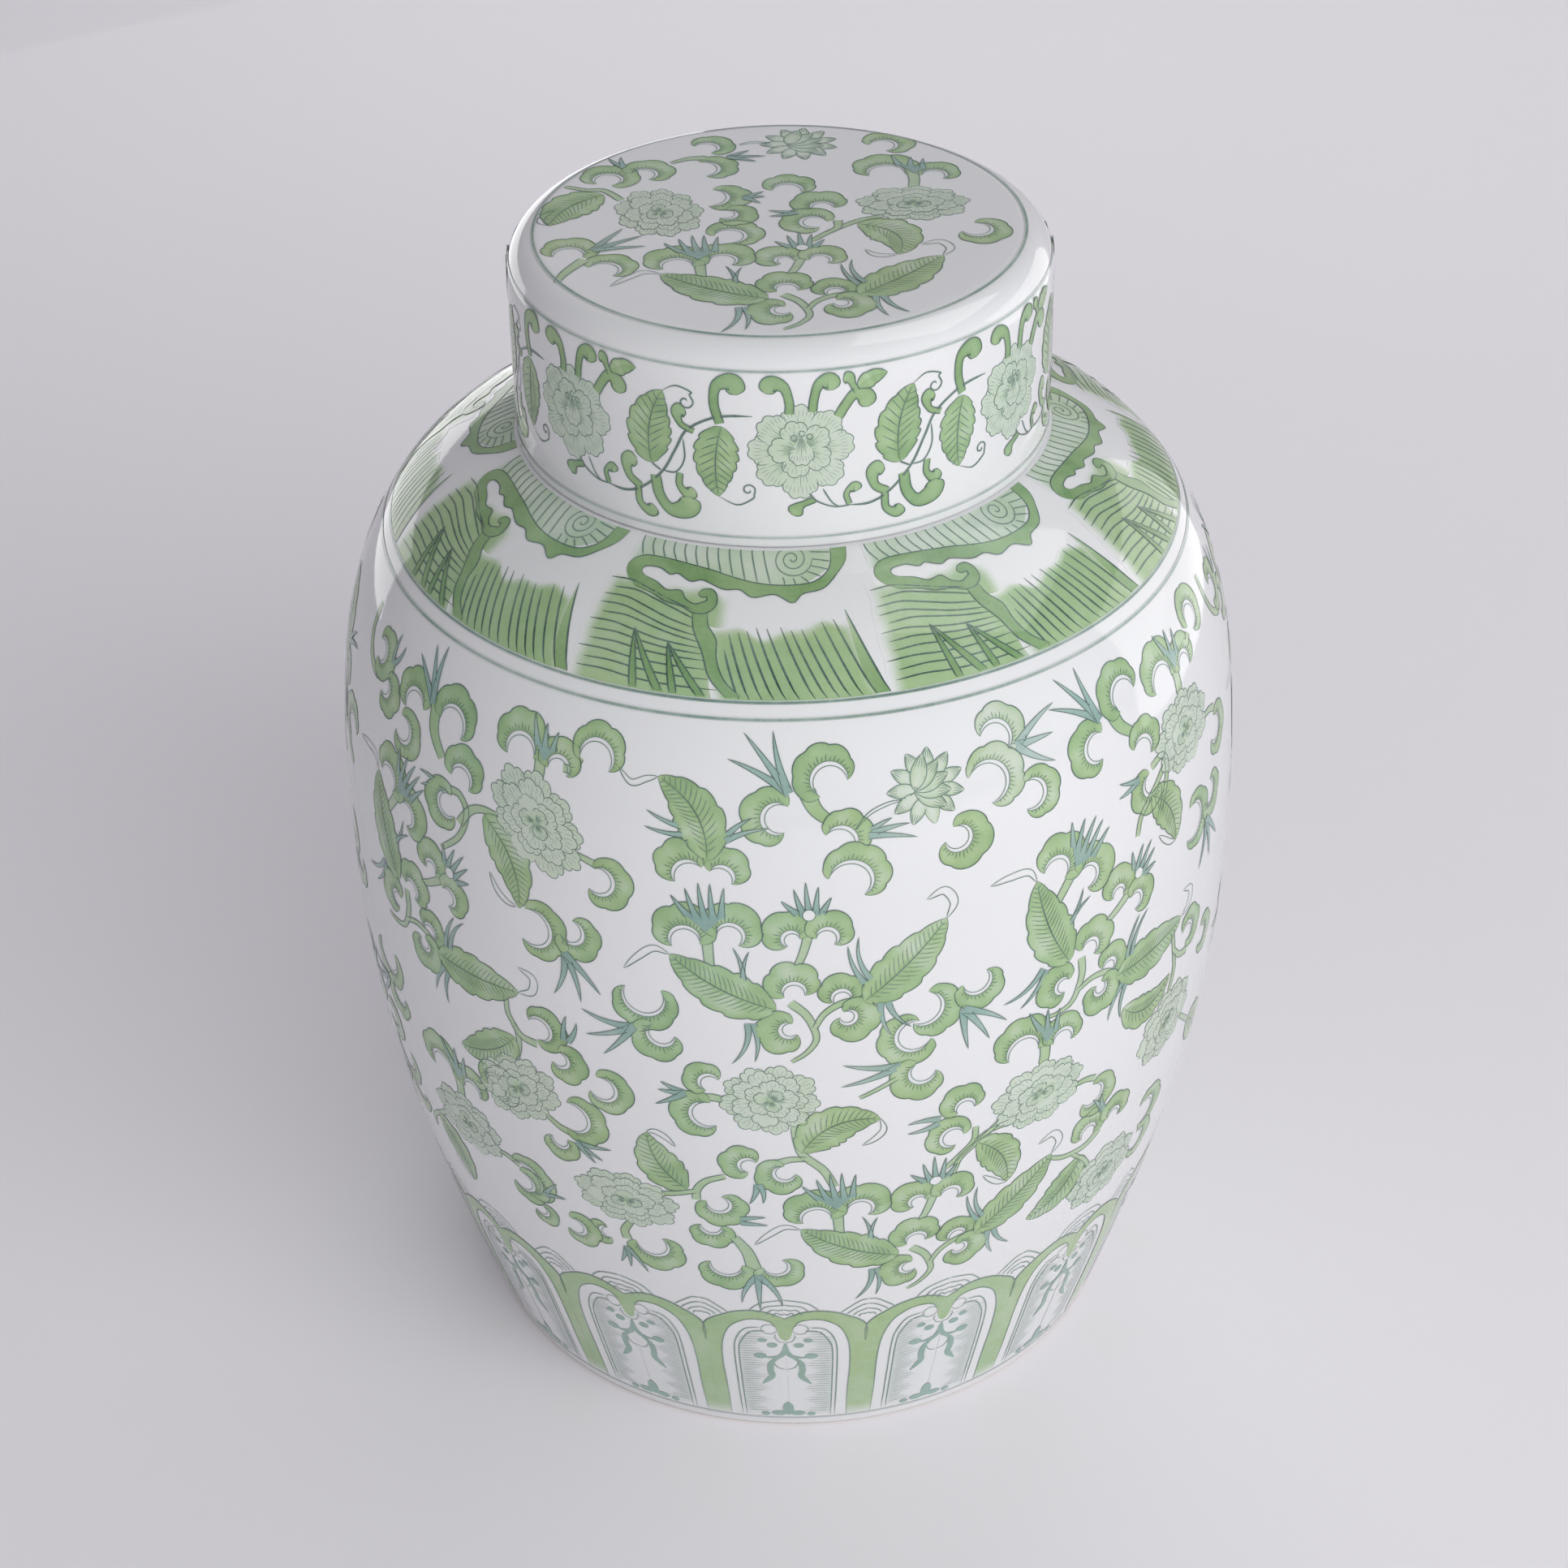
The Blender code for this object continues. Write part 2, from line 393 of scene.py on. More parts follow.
def paint_material(name, cool, warm, cloud=0.25, speck=0.2):
    """Wash colour over porcelain: strength across the map, cool to warm up it, mottled by the pigment."""
    material, tree, shader = glazed(name)
    chart = add(tree, "ShaderNodeUVMap", uv_map="OFBake")
    split = add(tree, "ShaderNodeSeparateXYZ")
    patchy = add(tree, "ShaderNodeGroup", node_tree=mottle)
    patchy.inputs["Cloud"].default_value = cloud
    patchy.inputs["Speck"].default_value = speck
    strength = add(tree, "ShaderNodeMath", operation="MULTIPLY")
    hues = []
    for pale, deep in (cool, warm):
        ramp = add(tree, "ShaderNodeValToRGB")
        ramp.color_ramp.elements[0].color = PORCELAIN
        ramp.color_ramp.elements[1].color = (*deep, 1)
        middle = ramp.color_ramp.elements.new(0.5)
        middle.color = (*pale, 1)
        tree.links.new(strength.outputs[0], ramp.inputs["Fac"])
        hues.append(ramp)
    tree.links.new(chart.outputs["UV"], split.inputs[0])
    tree.links.new(split.outputs["X"], strength.inputs[0])
    tree.links.new(patchy.outputs["Factor"], strength.inputs[1])
    colour = mix_colours(tree, split.outputs["Y"], hues[0].outputs["Color"], hues[1].outputs["Color"])
    tree.links.new(colour, shader.inputs["Base Color"])
    return material


porcelain = porcelain_material()
PAINTS = {
    "leaf": paint_material("leaf_green_wash",
                           ((0.34, 0.515, 0.29), (0.10, 0.245, 0.085)),
                           ((0.39, 0.52, 0.27), (0.135, 0.26, 0.075))),
    "petal": paint_material("petal_green_wash",
                            ((0.45, 0.60, 0.44), (0.20, 0.35, 0.21)),
                            ((0.49, 0.60, 0.41), (0.22, 0.35, 0.18))),
    "thorn": paint_material("thorn_teal_wash",
                            ((0.30, 0.455, 0.42), (0.085, 0.20, 0.185)),
                            ((0.33, 0.46, 0.39), (0.10, 0.21, 0.17))),
    "ink": paint_material("outline_teal_ink",
                          ((0.21, 0.32, 0.29), (0.03, 0.075, 0.07)),
                          ((0.23, 0.32, 0.25), (0.04, 0.08, 0.055)), 0.5, 0.4),
}
print("materials:", [m.name for m in (porcelain, *PAINTS.values())])

# %% The two shells
jar_shell = new_mesh("jar_shell", *turned(jar_outline()), porcelain, "jar", "jar_glaze")
lid_shell = new_mesh("lid_shell", *turned(lid_outline()), porcelain, "lid", "lid_glaze")
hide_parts("jar_body")
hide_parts("lid")
print("shell faces:", len(jar_shell.data.polygons), len(lid_shell.data.polygons))

# %% [markdown]
# ## How the painting is made
# A painter works with two marks: a wash, which is a patch of colour between two
# edges, and a line, which is a thin patch that swells and tapers. Here both are
# grids of points in a flat plane, in millimetres. A mark is a tuple: which paint,
# the grid of points, the strength at each point, and its layer. Layers are real
# steps of a few hundredths of a millimetre, so a front petal covers the lines of
# the one behind, as it does when it is painted last.

# %% Marks
WASH, LINE, TEAL = 1, 3, 3.4


def mark(kind, grid, strength, layer):
    """One mark, or a stack of alike marks: grid is (..., rows, columns, 2)."""
    grid = np.asarray(grid, float)
    grid = grid.reshape(-1, *grid.shape[-3:])
    strength = np.broadcast_to(strength, grid.shape[:-1])
    return kind, grid, strength, layer


def smooth_path(points, count):
    """Catmull-Rom: between two points the path is the cubic whose end slopes are the neighbours' chords."""
    p = np.asarray(points, float)
    p = np.vstack([2 * p[0] - p[1], p, 2 * p[-1] - p[-2]])
    t = np.linspace(0, len(p) - 3 - 1e-6, count)
    i = t.astype(int)
    f = (t - i)[:, None]
    a, b, c, d = p[i], p[i + 1], p[i + 2], p[i + 3]
    cubic_terms = (2 * a - 5 * b + 4 * c - d) * f**2 + (3 * b - a - 3 * c + d) * f**3
    return 0.5 * (2 * b + (c - a) * f + cubic_terms)


def sideways(path):
    """Unit normals to the left of a path, or of each path in a stack."""
    along = np.gradient(path, axis=-2)
    along /= np.linalg.norm(along, axis=-1, keepdims=True) + 1e-9
    return np.stack([-along[..., 1], along[..., 0]], -1)


PEN = 0.86  # the brush line dries a little narrower than it was drawn


def line(path, width=0.42, strength=0.75, taper=0.2, kind="ink", layer=LINE):
    """A brush line: the path widened to both sides, with ends that thin out over the taper."""
    path = np.asarray(path, float)
    t = np.linspace(0, 1, path.shape[-2])
    half = PEN * width / 2 * np.clip(np.minimum(t, 1 - t) / taper + 0.25, 0.25, 1)
    side = sideways(path) * half[:, None]
    return mark(kind, np.stack([path + side, path - side], -2), strength, layer)


def wash(edge, other, kind="leaf", strength=0.6, rows=5, layer=WASH):
    """A patch between two edges: edge + (other - edge) u, for u from 0 to 1."""
    u = np.linspace(0, 1, rows)[:, None, None]
    return mark(kind, edge + (other - edge) * u, strength, layer)


def polar(centre, radius, angle):
    """Points centre + radius (cos angle, sin angle)."""
    return np.stack([centre[0] + radius * np.cos(angle), centre[1] + radius * np.sin(angle)], -1)


# %% [markdown]
# ## The hooked lobe
# Nearly every scroll on the jar is built from one shape: a fat comma that hooks
# round a hollow. Along the hollow runs a white crescent, and short comb strokes
# stand on it like a fringe. The outer edge swells into rounded bumps. In polar
# terms round the hollow's centre, the inner edge is a circle, and the outer edge
# is that circle plus a thickness that grows from the stem, waves, and closes in a
# beak.

# %% Lobes
def lobe(x, y, hollow, start, end, body, stem=1.8, bumps=4, crescent=1.25, deep=0.0, kind="leaf"):
    """Inner edge: the circle of radius hollow from angle start to end. Outer edge: hollow plus a stem
    that thins as (1-t)^1.2, plus a body that rises as a sine and closes to a beak, times the bumps."""
    length = abs(math.radians(end - start)) * (hollow + body * 0.5)
    count = max(30, int(length / 0.55))
    t = np.linspace(0, 1, count)
    angle = np.radians(start + (end - start) * t)
    swell = np.sin(np.pi / 2 * np.clip(t / 0.52, 0, 1)) ** 1.1
    swell = swell * (1 - np.clip((t - 0.56) / 0.44, 0, 1) ** 2.3) ** 0.8
    wave = np.abs(np.sin(np.pi * bumps * np.clip((t - 0.10) / 0.90, 0, 1))) ** 0.6
    stalk = stem * (1 - t) ** 1.2 * np.clip(t / 0.07, 0.05, 1) ** 0.5
    thick = stalk + 1.02 * body * swell * (0.82 + 0.18 * wave)
    gap = crescent * np.sin(np.pi * np.clip((t - 0.08) / 0.92, 0, 1)) ** 0.6
    gap = np.minimum(gap, 0.45 * thick)
    inner = polar((x, y), hollow, angle)
    rim = polar((x, y), hollow + gap, angle)
    outer = polar((x, y), hollow + thick, angle)
    u = np.linspace(0, 1, 6)[:, None]
    pool = 0.05 * np.sin(9.0 * t + x) + 0.03 * np.sin(23.0 * t + 2 * y)
    strength = 0.49 + deep + 0.10 * u**3 + 0.12 * np.exp(-u / 0.14) - 0.04 * np.sin(np.pi * u) * swell + pool
    marks = [
        wash(rim, outer, kind, strength, 6),
        line(outer, 0.34, 0.78),
        line(inner, 0.27, 0.6, 0.12),
        line(rim, 0.25, 0.55, 0.12),
    ]
    strokes = max(3, int(length / 1.5))
    at = np.linspace(0.14, 0.9, strokes)
    reach = np.interp(at, t, thick - gap)
    reach = np.minimum(2.3, 0.42 * reach) * (1 - 0.3 * (np.arange(strokes) % 2))
    lean = np.radians(np.sign(end - start) * 4.0)
    spread = np.linspace(0, 1, 3)
    ray = hollow + np.interp(at, t, gap)[:, None] + reach[:, None] * spread
    turn = np.radians(start + (end - start) * at)[:, None] + lean * spread
    marks.append(line(polar((x, y), ray, turn), 0.25, 0.72, 0.5))
    return marks


# %% Leaves, stems, thorns and curls
def bent(base, tip, bend, count):
    """A quadratic curve from base to tip; bend moves its middle sideways, in shares of its length."""
    base, tip = np.asarray(base, float), np.asarray(tip, float)
    across = np.array([-(tip - base)[1], (tip - base)[0]])
    pull = (base + tip) / 2 + 2 * bend * across
    t = np.linspace(0, 1, count)[:, None]
    return (1 - t) ** 2 * base + 2 * (1 - t) * t * pull + t**2 * tip


def leaf(base, tip, width, bend=0.08, bumps=5, deep=0.0):
    """Half-width = 0.53 width sin(pi t^0.78)^0.72 with scallops, on both sides of a bent midrib."""
    count = 56
    rib = bent(base, tip, bend, count)
    t = np.linspace(0, 1, count)
    side = sideways(rib)
    half = 0.53 * width * np.sin(np.pi * t**0.78) ** 0.72
    wave = (bumps * t + 0.15) % 1
    wave = np.where(wave < 0.8, np.sin(np.pi * wave / 1.6) ** 0.7,
                    np.cos(np.pi * (wave - 0.8) / 0.4) ** 0.5)
    left = rib + side * (half * (0.85 + 0.15 * wave))[:, None]
    right = rib - side * (half * (0.85 + 0.15 * np.roll(wave, 5)))[:, None]
    u = np.linspace(-1, 1, 9)[:, None]
    pool = 0.06 * np.sin(7.0 * t + base[0]) + 0.04 * np.sin(19.0 * t + base[1])
    half_tone = 0.035 * np.sign(u) * (u * u < 1)
    strength = 0.47 + deep + 0.12 * np.exp(-np.abs(u) / 0.16) + 0.10 * u**4 + pool + half_tone
    marks = [
        mark("leaf", left + (right - left) * (u[:, :, None] + 1) / 2, strength, WASH),
        line(left, 0.33, 0.78),
        line(right, 0.33, 0.78),
        line(rib[1:-2], 0.42, 0.72, 0.5),
    ]
    length = np.linalg.norm(np.diff(rib, axis=0), axis=1).sum()
    strokes = int(length / 1.8)
    at = np.linspace(0.08, 0.93, strokes)
    foot = np.stack([np.interp(at, t, rib[:, 0]), np.interp(at, t, rib[:, 1])], -1)
    normal = np.stack([np.interp(at, t, side[:, 0]), np.interp(at, t, side[:, 1])], -1)
    forward = np.stack([normal[:, 1], -normal[:, 0]], -1)
    reach = (np.interp(at, t, half) * 0.62)[:, None, None]
    spread = np.linspace(0, 1, 4)[:, None]
    for way in (1, -1):
        lean = way * normal[:, None] * spread + forward[:, None] * (0.55 * spread + 0.25 * spread**2)
        marks.append(line(foot[:, None] + reach * lean, 0.24, 0.66, 0.5))
    return marks


def stem(points, first=1.6, last=1.6, strength=0.42, kind="leaf"):
    """A stalk: a pale wash between two lines that run beside its path."""
    path = smooth_path(points, 8 * len(points))
    half = np.linspace(first, last, len(path))[:, None] / 2
    side = sideways(path)
    left, right = path + side * half, path - side * half
    return [wash(left, right, kind, strength, 3, WASH - 0.3), line(left, 0.31, 0.7, 0.1),
            line(right, 0.31, 0.68, 0.1)]


def thorn(base, tip, width=2.2, bend=0.08, pale=0.0):
    """A teal spike: half-width 0.4 width (1-t)^0.8 along a bent line, darkest at its base."""
    path = bent(base, tip, bend, 12)
    t = np.linspace(0, 1, 12)
    half = (0.4 * width * (1 - t) ** 0.8)[:, None]
    side = sideways(path)
    left, right = path + side * half, path - side * half
    return [wash(left, right, "thorn", 0.62 - 0.22 * t - pale, 3, TEAL),
            line(left, 0.28, 0.78 - pale, 0.15, layer=TEAL + 0.7),
            line(right, 0.28, 0.78 - pale, 0.15, layer=TEAL + 0.7)]


def crown(left, right, foot, tips, strength=0.62):
    """A crest: a teal wedge from foot up to the line left-right, with a spike for each tip."""
    left, right, foot = (np.asarray(p, float) for p in (left, right, foot))
    t = np.linspace(0, 1, 9)[:, None]
    top = left + (right - left) * t
    marks = [wash(top, foot + (top - foot) * 0.04, "thorn", strength, 5, TEAL)]
    for share, tip in zip(np.linspace(0.06, 0.94, len(tips)), tips):
        base = left + (right - left) * share
        marks += thorn(base - (np.asarray(tip) - base) * 0.15, tip, 2.5, 0.02)
    return marks


def curl(points, width=2.0):
    """An unpainted tendril: two fine lines that part and meet, half-width width/2 sin(pi t)^0.7."""
    path = smooth_path(points, 26)
    t = np.linspace(0, 1, 26)
    offset = sideways(path) * (width / 2 * np.sin(np.pi * t) ** 0.7)[:, None]
    return [line(path + offset, 0.30, 0.74, 0.1), line(path - offset, 0.26, 0.68, 0.1)]


# %% [markdown]
# ## Peony and lotus
# The peony is painted from the outside in. Every petal is a fan: its rim is a
# circle with shallow scallops, seen from the petal's own root, and fine strokes run
# out from the root. Each ring of petals lies one layer above the last. The lotus is
# a star of pointed petals in two rings, with a few strokes at each point.

# %% Flowers
def petal(root, heading, reach, spread, layer, scallops=3, strength=0.4):
    """A fan from its root: radius = reach cos(1.32 share)^0.3, times shallow scallops."""
    count = 22
    share = np.linspace(-1, 1, count)
    angle = heading + share * spread
    wave = np.abs(np.sin(np.pi * scallops * (share + 1) / 2)) ** 0.6
    rim = reach * np.cos(share * 1.32) ** 0.30 * (0.90 + 0.10 * wave)
    u = np.linspace(0, 1, 5)[:, None]
    grid = polar(root, u * rim, angle)
    tone = strength + 0.34 * np.exp(-u / 0.42) + 0.05 * u**4 - 0.09
    fringe = np.linspace(-0.8, 0.8, 7)
    length = np.array([0.44, 0.62, 0.52, 0.72, 0.54, 0.62, 0.44])[:, None]
    along = np.linspace(0.12, 1, 4)
    veins = polar(root, reach * length * along, heading + fringe[:, None] * spread * 0.8)
    edge = np.linspace(-0.66, 0.66, scallops * 2)[:, None]
    ticks = polar(root, reach * np.linspace(0.66, 0.86, 3), heading + edge * spread)
    return [
        mark("petal", grid, tone, layer),
        line(polar(root, rim, angle), 0.28, 0.66, 0.08, layer=layer + 0.42),
        line(veins, 0.20, 0.56, 0.4, layer=layer + 0.42),
        line(ticks, 0.20, 0.45, 0.4, layer=layer + 0.42),
    ]


def disc(radius, strength, layer):
    """A round wash under a flower, a little darker in the middle."""
    angle = np.linspace(0, 2 * np.pi, 41)
    u = np.linspace(0, 1, 5)[:, None]
    grid = polar((0, 0), u * radius * (1 + 0.03 * np.cos(9 * angle)), angle)
    return mark("petal", grid, strength - 0.08 * u, layer)


def peony(x, y, wide, high, turn=0.0, pale=0.0):
    """Rings of fans round (x, y), squeezed to wide by high: 9 outside, 7 within, 5 inside, a heart."""
    marks = [disc(0.86, 0.52 - pale, WASH - 0.2)]
    rings = ((9, 0.24, 0.76, 0.58, 0.36, 0), (7, 0.12, 0.66, 0.62, 0.33, 9), (5, 0.02, 0.52, 0.76, 0.34, 4),
             (3, 0.04, 0.28, 0.95, 0.42, 2))
    for ring, (count, out, reach, spread, strength, shift) in enumerate(rings):
        for k in range(count):
            heading = 2 * np.pi * (k + 0.13 * shift) / count + 0.35 * ring
            grow = 1 + 0.07 * math.sin(5 * k + 3 * ring)
            root = (out * math.cos(heading), out * math.sin(heading))
            layer = WASH + 0.9 * ring + 0.45 * (k % 2)
            marks += petal(root, heading, reach * grow, spread, layer, 3, strength - pale)
    squeeze = np.diag([wide / 2, high / 2])
    unit = np.array([[math.cos(turn), math.sin(turn)], [-math.sin(turn), math.cos(turn)]])
    return [(kind, grow_lines(grid, kind, squeeze) @ unit + (x, y), tone, layer)
            for kind, grid, tone, layer in marks]


def grow_lines(grid, kind, squeeze):
    """Stretches a grid by a matrix; a line's middle is stretched, and its width is set apart."""
    if kind != "ink":
        return grid @ squeeze
    middle = grid.mean(axis=-2, keepdims=True)
    return middle @ squeeze + (grid - middle)


def pointed_petal(root, heading, reach, width, layer, strength=0.3):
    """A lance shape: half-width width/2 sin(pi t^0.9)^0.8, with four strokes near its point."""
    tip = (root[0] + reach * math.cos(heading), root[1] + reach * math.sin(heading))
    path = bent(root, tip, 0.0, 14)
    t = np.linspace(0, 1, 14)
    half = (width / 2 * np.sin(np.pi * t**0.9) ** 0.8)[:, None]
    side = sideways(path)
    left, right = path + side * half, path - side * half
    fan = np.linspace(-0.5, 0.5, 4)[:, None, None]
    strokes = path[8:13] + fan * (side * half)[8:13] * 1.3
    tone = strength + 0.22 * np.abs(np.linspace(-1, 1, 5))[:, None] ** 2 + 0.12 * t
    return [wash(left, right, "petal", tone, 5, layer), line(left, 0.36, 0.62, 0.1, layer=layer + 0.45),
            line(right, 0.36, 0.6, 0.1, layer=layer + 0.45),
            line(strokes, 0.24, 0.55, 0.4, layer=layer + 0.45)]


def lotus(x, y, size=10.5, turn=0.3):
    """Eleven pointed petals outside and five broad ones within."""
    marks = []
    for k in range(11):
        heading = turn + 2 * math.pi * k / 11
        root = (x + 0.25 * size * math.cos(heading), y + 0.25 * size * math.sin(heading))
        marks += pointed_petal(root, heading, 0.76 * size, 0.36 * size, WASH + 0.45 * (k % 2), 0.22)
    for k in range(5):
        heading = turn + 0.5 + 2.2 * (k - 2) / 2
        marks += pointed_petal((x - 0.3 * size, y - 0.05 * size), heading * 0.42, 0.95 * size,
                               0.42 * size, WASH + 1.0 + 0.45 * (k % 2), 0.30)
    return marks


# %% [markdown]
# ## The sprays
# The painter's pattern book has only a few sprays, and each is used again and
# again, turned and cut to fit. Each function below paints one of them round its own
# origin, in millimetres, y up.

# %% The twin-leaf spray
def twin_leaf_spray():
    """Two scalloped leaves over a hooked stem, with two crowned pairs of lobes above the left one."""
    marks = stem([(-22, 3), (-22.4, 8), (-22.8, 14)], 2.4, 3.0)
    marks += stem([(0.6, 5), (2.6, 10), (4.4, 17)], 1.8, 2.6)
    marks += lobe(-28.6, 12, 4.0, -5, 205, 6.6, 3.6, 4) + lobe(-16.8, 14.6, 3.4, 182, -45, 6.0, 3.6, 3)
    marks += crown((-29, 21), (-18, 21.4), (-23, 15.6),
                   [(-32.5, 26), (-28.6, 28.5), (-25, 30.5), (-21.8, 30.5), (-18, 29.5)])
    marks += lobe(-0.2, 14.0, 2.1, 10, 235, 6.2, 3.0, 3) + lobe(8.8, 14.0, 2.7, 175, -40, 5.2, 2.8, 3)
    marks += crown((0.3, 22.5), (8.6, 22.5), (4.4, 21),
                   [(-3, 26), (0.4, 29.5), (3.6, 31.5), (7, 30), (10.4, 26.6)])
    middle = (4.3, 21.6)
    hole = polar(middle, 1.7, np.linspace(0, 2 * np.pi, 17))
    marks.append(wash(hole, np.broadcast_to(middle, hole.shape), "thorn", 0.02, 3, TEAL + 0.8))
    marks.append(line(hole, 0.28, 0.7, 0.05, layer=TEAL + 1.2))
    for base, tip, bow in (((-13.6, -3), (-16.0, 11.5), -0.09), ((-12.4, -3), (-11.6, 10.5), 0.10),
                           ((-12.5, -13), (-17, -27), 0.12), ((-11, -13), (-10.8, -26), 0.08),
                           ((19.6, -2), (14.4, 11.5), 0.08), ((21.4, -1), (17.4, 14), 0.12),
                           ((23, -8), (26, -19.5), -0.08), ((25, -8), (31.5, -17.5), -0.10)):
        marks += thorn(base, tip, 2.3, bow)
    marks += stem([(-1, -26), (3, -23), (5.6, -19), (5.2, -15), (3, -10), (-1, -6)], 1.0, 2.6)
    marks += stem([(5.2, -15), (8, -10), (13, -6.8), (19, -6.5)], 1.4, 2.4)
    marks += curl([(-33, 7.5), (-37.5, 8.6), (-42, 5), (-46, 0.5)], 2.2)
    marks += curl([(41.5, 15.5), (43.6, 20), (41, 24), (36, 22.4)], 2.6)
    marks += lobe(0, -3, 2.8, 205, -12, 6.4, 3.0, 4) + lobe(-1.1, -15, 2.2, 75, 318, 6.6, 2.4, 4, deep=0.03)
    marks += lobe(12.7, -5.5, 2.3, -15, 205, 5.4, 2.0, 3, deep=0.04)
    marks += lobe(14, -11.5, 1.9, 120, -175, 6.4, 2.4, 4)
    marks += leaf((-4.8, -8.2), (-33, 7.5), 14.0, 0.06, 5)
    return marks + leaf((18.5, -7), (41.5, 15.5), 14, -0.03, 5)


# %% The peony spray
def peony_spray(side_lobe=True):
    """A peony under a pair of crest lobes, with a leaf hanging on its stem and a lobe on its right."""
    marks = stem([(0.4, 11), (0.8, 15), (0.2, 21)], 3.2, 3.4)
    marks += lobe(-6.4, 17.8, 4.8, -8, 200, 6.4, 3.4, 5)
    marks += lobe(6.6, 16.6, 3.2, 184, -22, 4.8, 3.2, 3)
    marks += crown((-2.2, 25), (4.6, 22), (1.0, 18), [(-5, 31), (1.2, 30), (5.2, 28.6)])
    if side_lobe:
        marks += lobe(18.2, 25.4, 3.6, 200, -92, 4.9, 2.2, 3)
        marks += stem([(9.5, 21.5), (11.5, 21), (13.4, 23)], 2.4, 2.2)
    marks += stem([(-12, -4), (-17, -8.4), (-21, -11.4), (-24.6, -15), (-26.2, -20)], 1.8, 1.6)
    marks += leaf((-19.5, -10.5), (-8, -31), 12, 0.14, 5)
    marks += curl([(-8, -31), (-11, -30), (-14, -27.5), (-16.5, -25)], 1.9)
    marks += stem([(13, -3.4), (17, -3.6), (21, -5)], 1.5, 2.2)
    marks += lobe(20.6, -11.4, 3.8, 92, -150, 5.4, 2.2, 4)
    marks += peony(0, 0, 31, 24, 0.15)
    return marks


def tilted_peony_spray():
    """A large peony that leans down to the right, with a wide hook beside its crest."""
    marks = stem([(0.4, 11), (0.8, 15), (0.2, 21)], 3.2, 3.4)
    marks += stem([(8, 17), (11, 17.4), (13, 21)], 2.2, 2.0)
    marks += lobe(-6.0, 17.4, 4.5, -8, 200, 6.2, 3.2, 5, deep=0.03)
    marks += lobe(6.4, 16.0, 3.1, 184, -22, 4.8, 3.0, 3)
    marks += crown((-1.4, 22), (4.6, 21), (1.6, 17), [(-3.4, 29), (1.2, 27.5), (5.2, 26)])
    marks += lobe(17.4, 21.4, 4.8, 190, -30, 5.0, 1.6, 4, deep=0.03)
    marks += stem([(-12, -3), (-17, -3.2), (-21.4, -5.4), (-25.4, -11)], 1.8, 2.8)
    marks += leaf((-16.4, -4.6), (-4, -28.6), 12.5, 0.15, 5)
    marks += curl([(-5, -28.6), (-8.4, -28), (-11.6, -25.4), (-14, -21)], 1.9)
    marks += stem([(13, -6), (16.6, -7), (20, -8)], 1.5, 2.2)
    marks += lobe(20, -12.4, 3.8, 110, -130, 5.4, 2.0, 4, deep=0.03)
    return marks + peony(1.0, -0.6, 34, 25.5, -0.62)


# %% Scrolls with thorns
def thorned_pair():
    """A tall hook to the right with a lower one on its left shoulder, under three long thorns."""
    marks = stem([(6.4, 3.6), (8.6, -1.4), (13.2, -5.6)], 4.6, 2.6, 0.5)
    marks += lobe(12.6, 5.6, 4.5, 232, 6, 5.2, 3.0, 5, deep=0.04)
    marks += lobe(-0.6, -3.6, 3.9, 58, 285, 5.6, 2.6, 4, deep=0.03)
    for tip, bow in (((-14.4, 12), -0.05), ((-10.2, 19), -0.02), ((-2.2, 19.6), 0.04)):
        marks += thorn((1.8, 3.2), tip, 3.0, bow)
    return marks


def paired_scroll():
    """Two lobes back to back under three tall thorns, over a third hook and a spiral."""
    marks = stem([(9.4, -15.6), (14.6, -15.4), (17.6, -20), (15, -28), (8, -35)], 2.2, 1.6)
    marks += stem([(1.0, 5), (2.0, -2), (6.6, -8)], 4.4, 3.0, 0.5)
    marks += lobe(-8.4, 0.5, 4.3, 12, 205, 5.6, 3.0, 4, deep=0.05)
    marks += lobe(8.4, 2.5, 4.8, 178, -30, 5.2, 3.4, 4, deep=0.05)
    for tip, bow in (((-11.5, 15), -0.03), ((-6, 20), -0.02), ((-1.0, 21.5), 0.03)):
        marks += thorn((-0.6, 5), tip, 3.2, bow)
    marks += lobe(14.6, -11, 3.6, 178, -30, 5.6, 2.8, 4, deep=0.03)
    for tip in ((-2.4, -15.4), (-1.4, -19.6)):
        marks += thorn((8.4, -16.4), tip, 2.4, -0.05)
    return marks + lobe(10.4, -20.4, 3.4, 70, 318, 5.4, 2.4, 4)


def thorned_scroll():
    """The thorned pair over a third hook and a spiral, on a stem that trails off to the right."""
    marks = stem([(18.6, -18.8), (23.4, -17.6), (25.6, -21), (24, -28), (20.6, -35)], 2.2, 1.4)
    marks += thorned_pair() + lobe(15.6, -12.4, 3.8, 150, -30, 5.4, 2.2, 4, deep=0.04)
    marks += lobe(18.4, -23.0, 3.3, 108, 330, 5.4, 2.6, 4)
    for tip in ((5.2, -17.4), (4.6, -21.6)):
        marks += thorn((13, -19.6), tip, 2.4, 0.05)
    return marks


def long_thorned_scroll():
    """The thorned pair over a third hook and a broad fourth one, with thorns between them."""
    marks = thorned_pair()
    for tip in ((28.2, -5.4), (32.8, -7.6), (34.4, -11.8)):
        marks += thorn((20.6, -9.6), tip, 2.6, 0.04)
    marks += lobe(14.2, -11.2, 4.2, 140, -30, 5.2, 2.0, 4)
    return marks + lobe(16.6, -22.4, 5.4, 165, -48, 5.8, 1.6, 5)


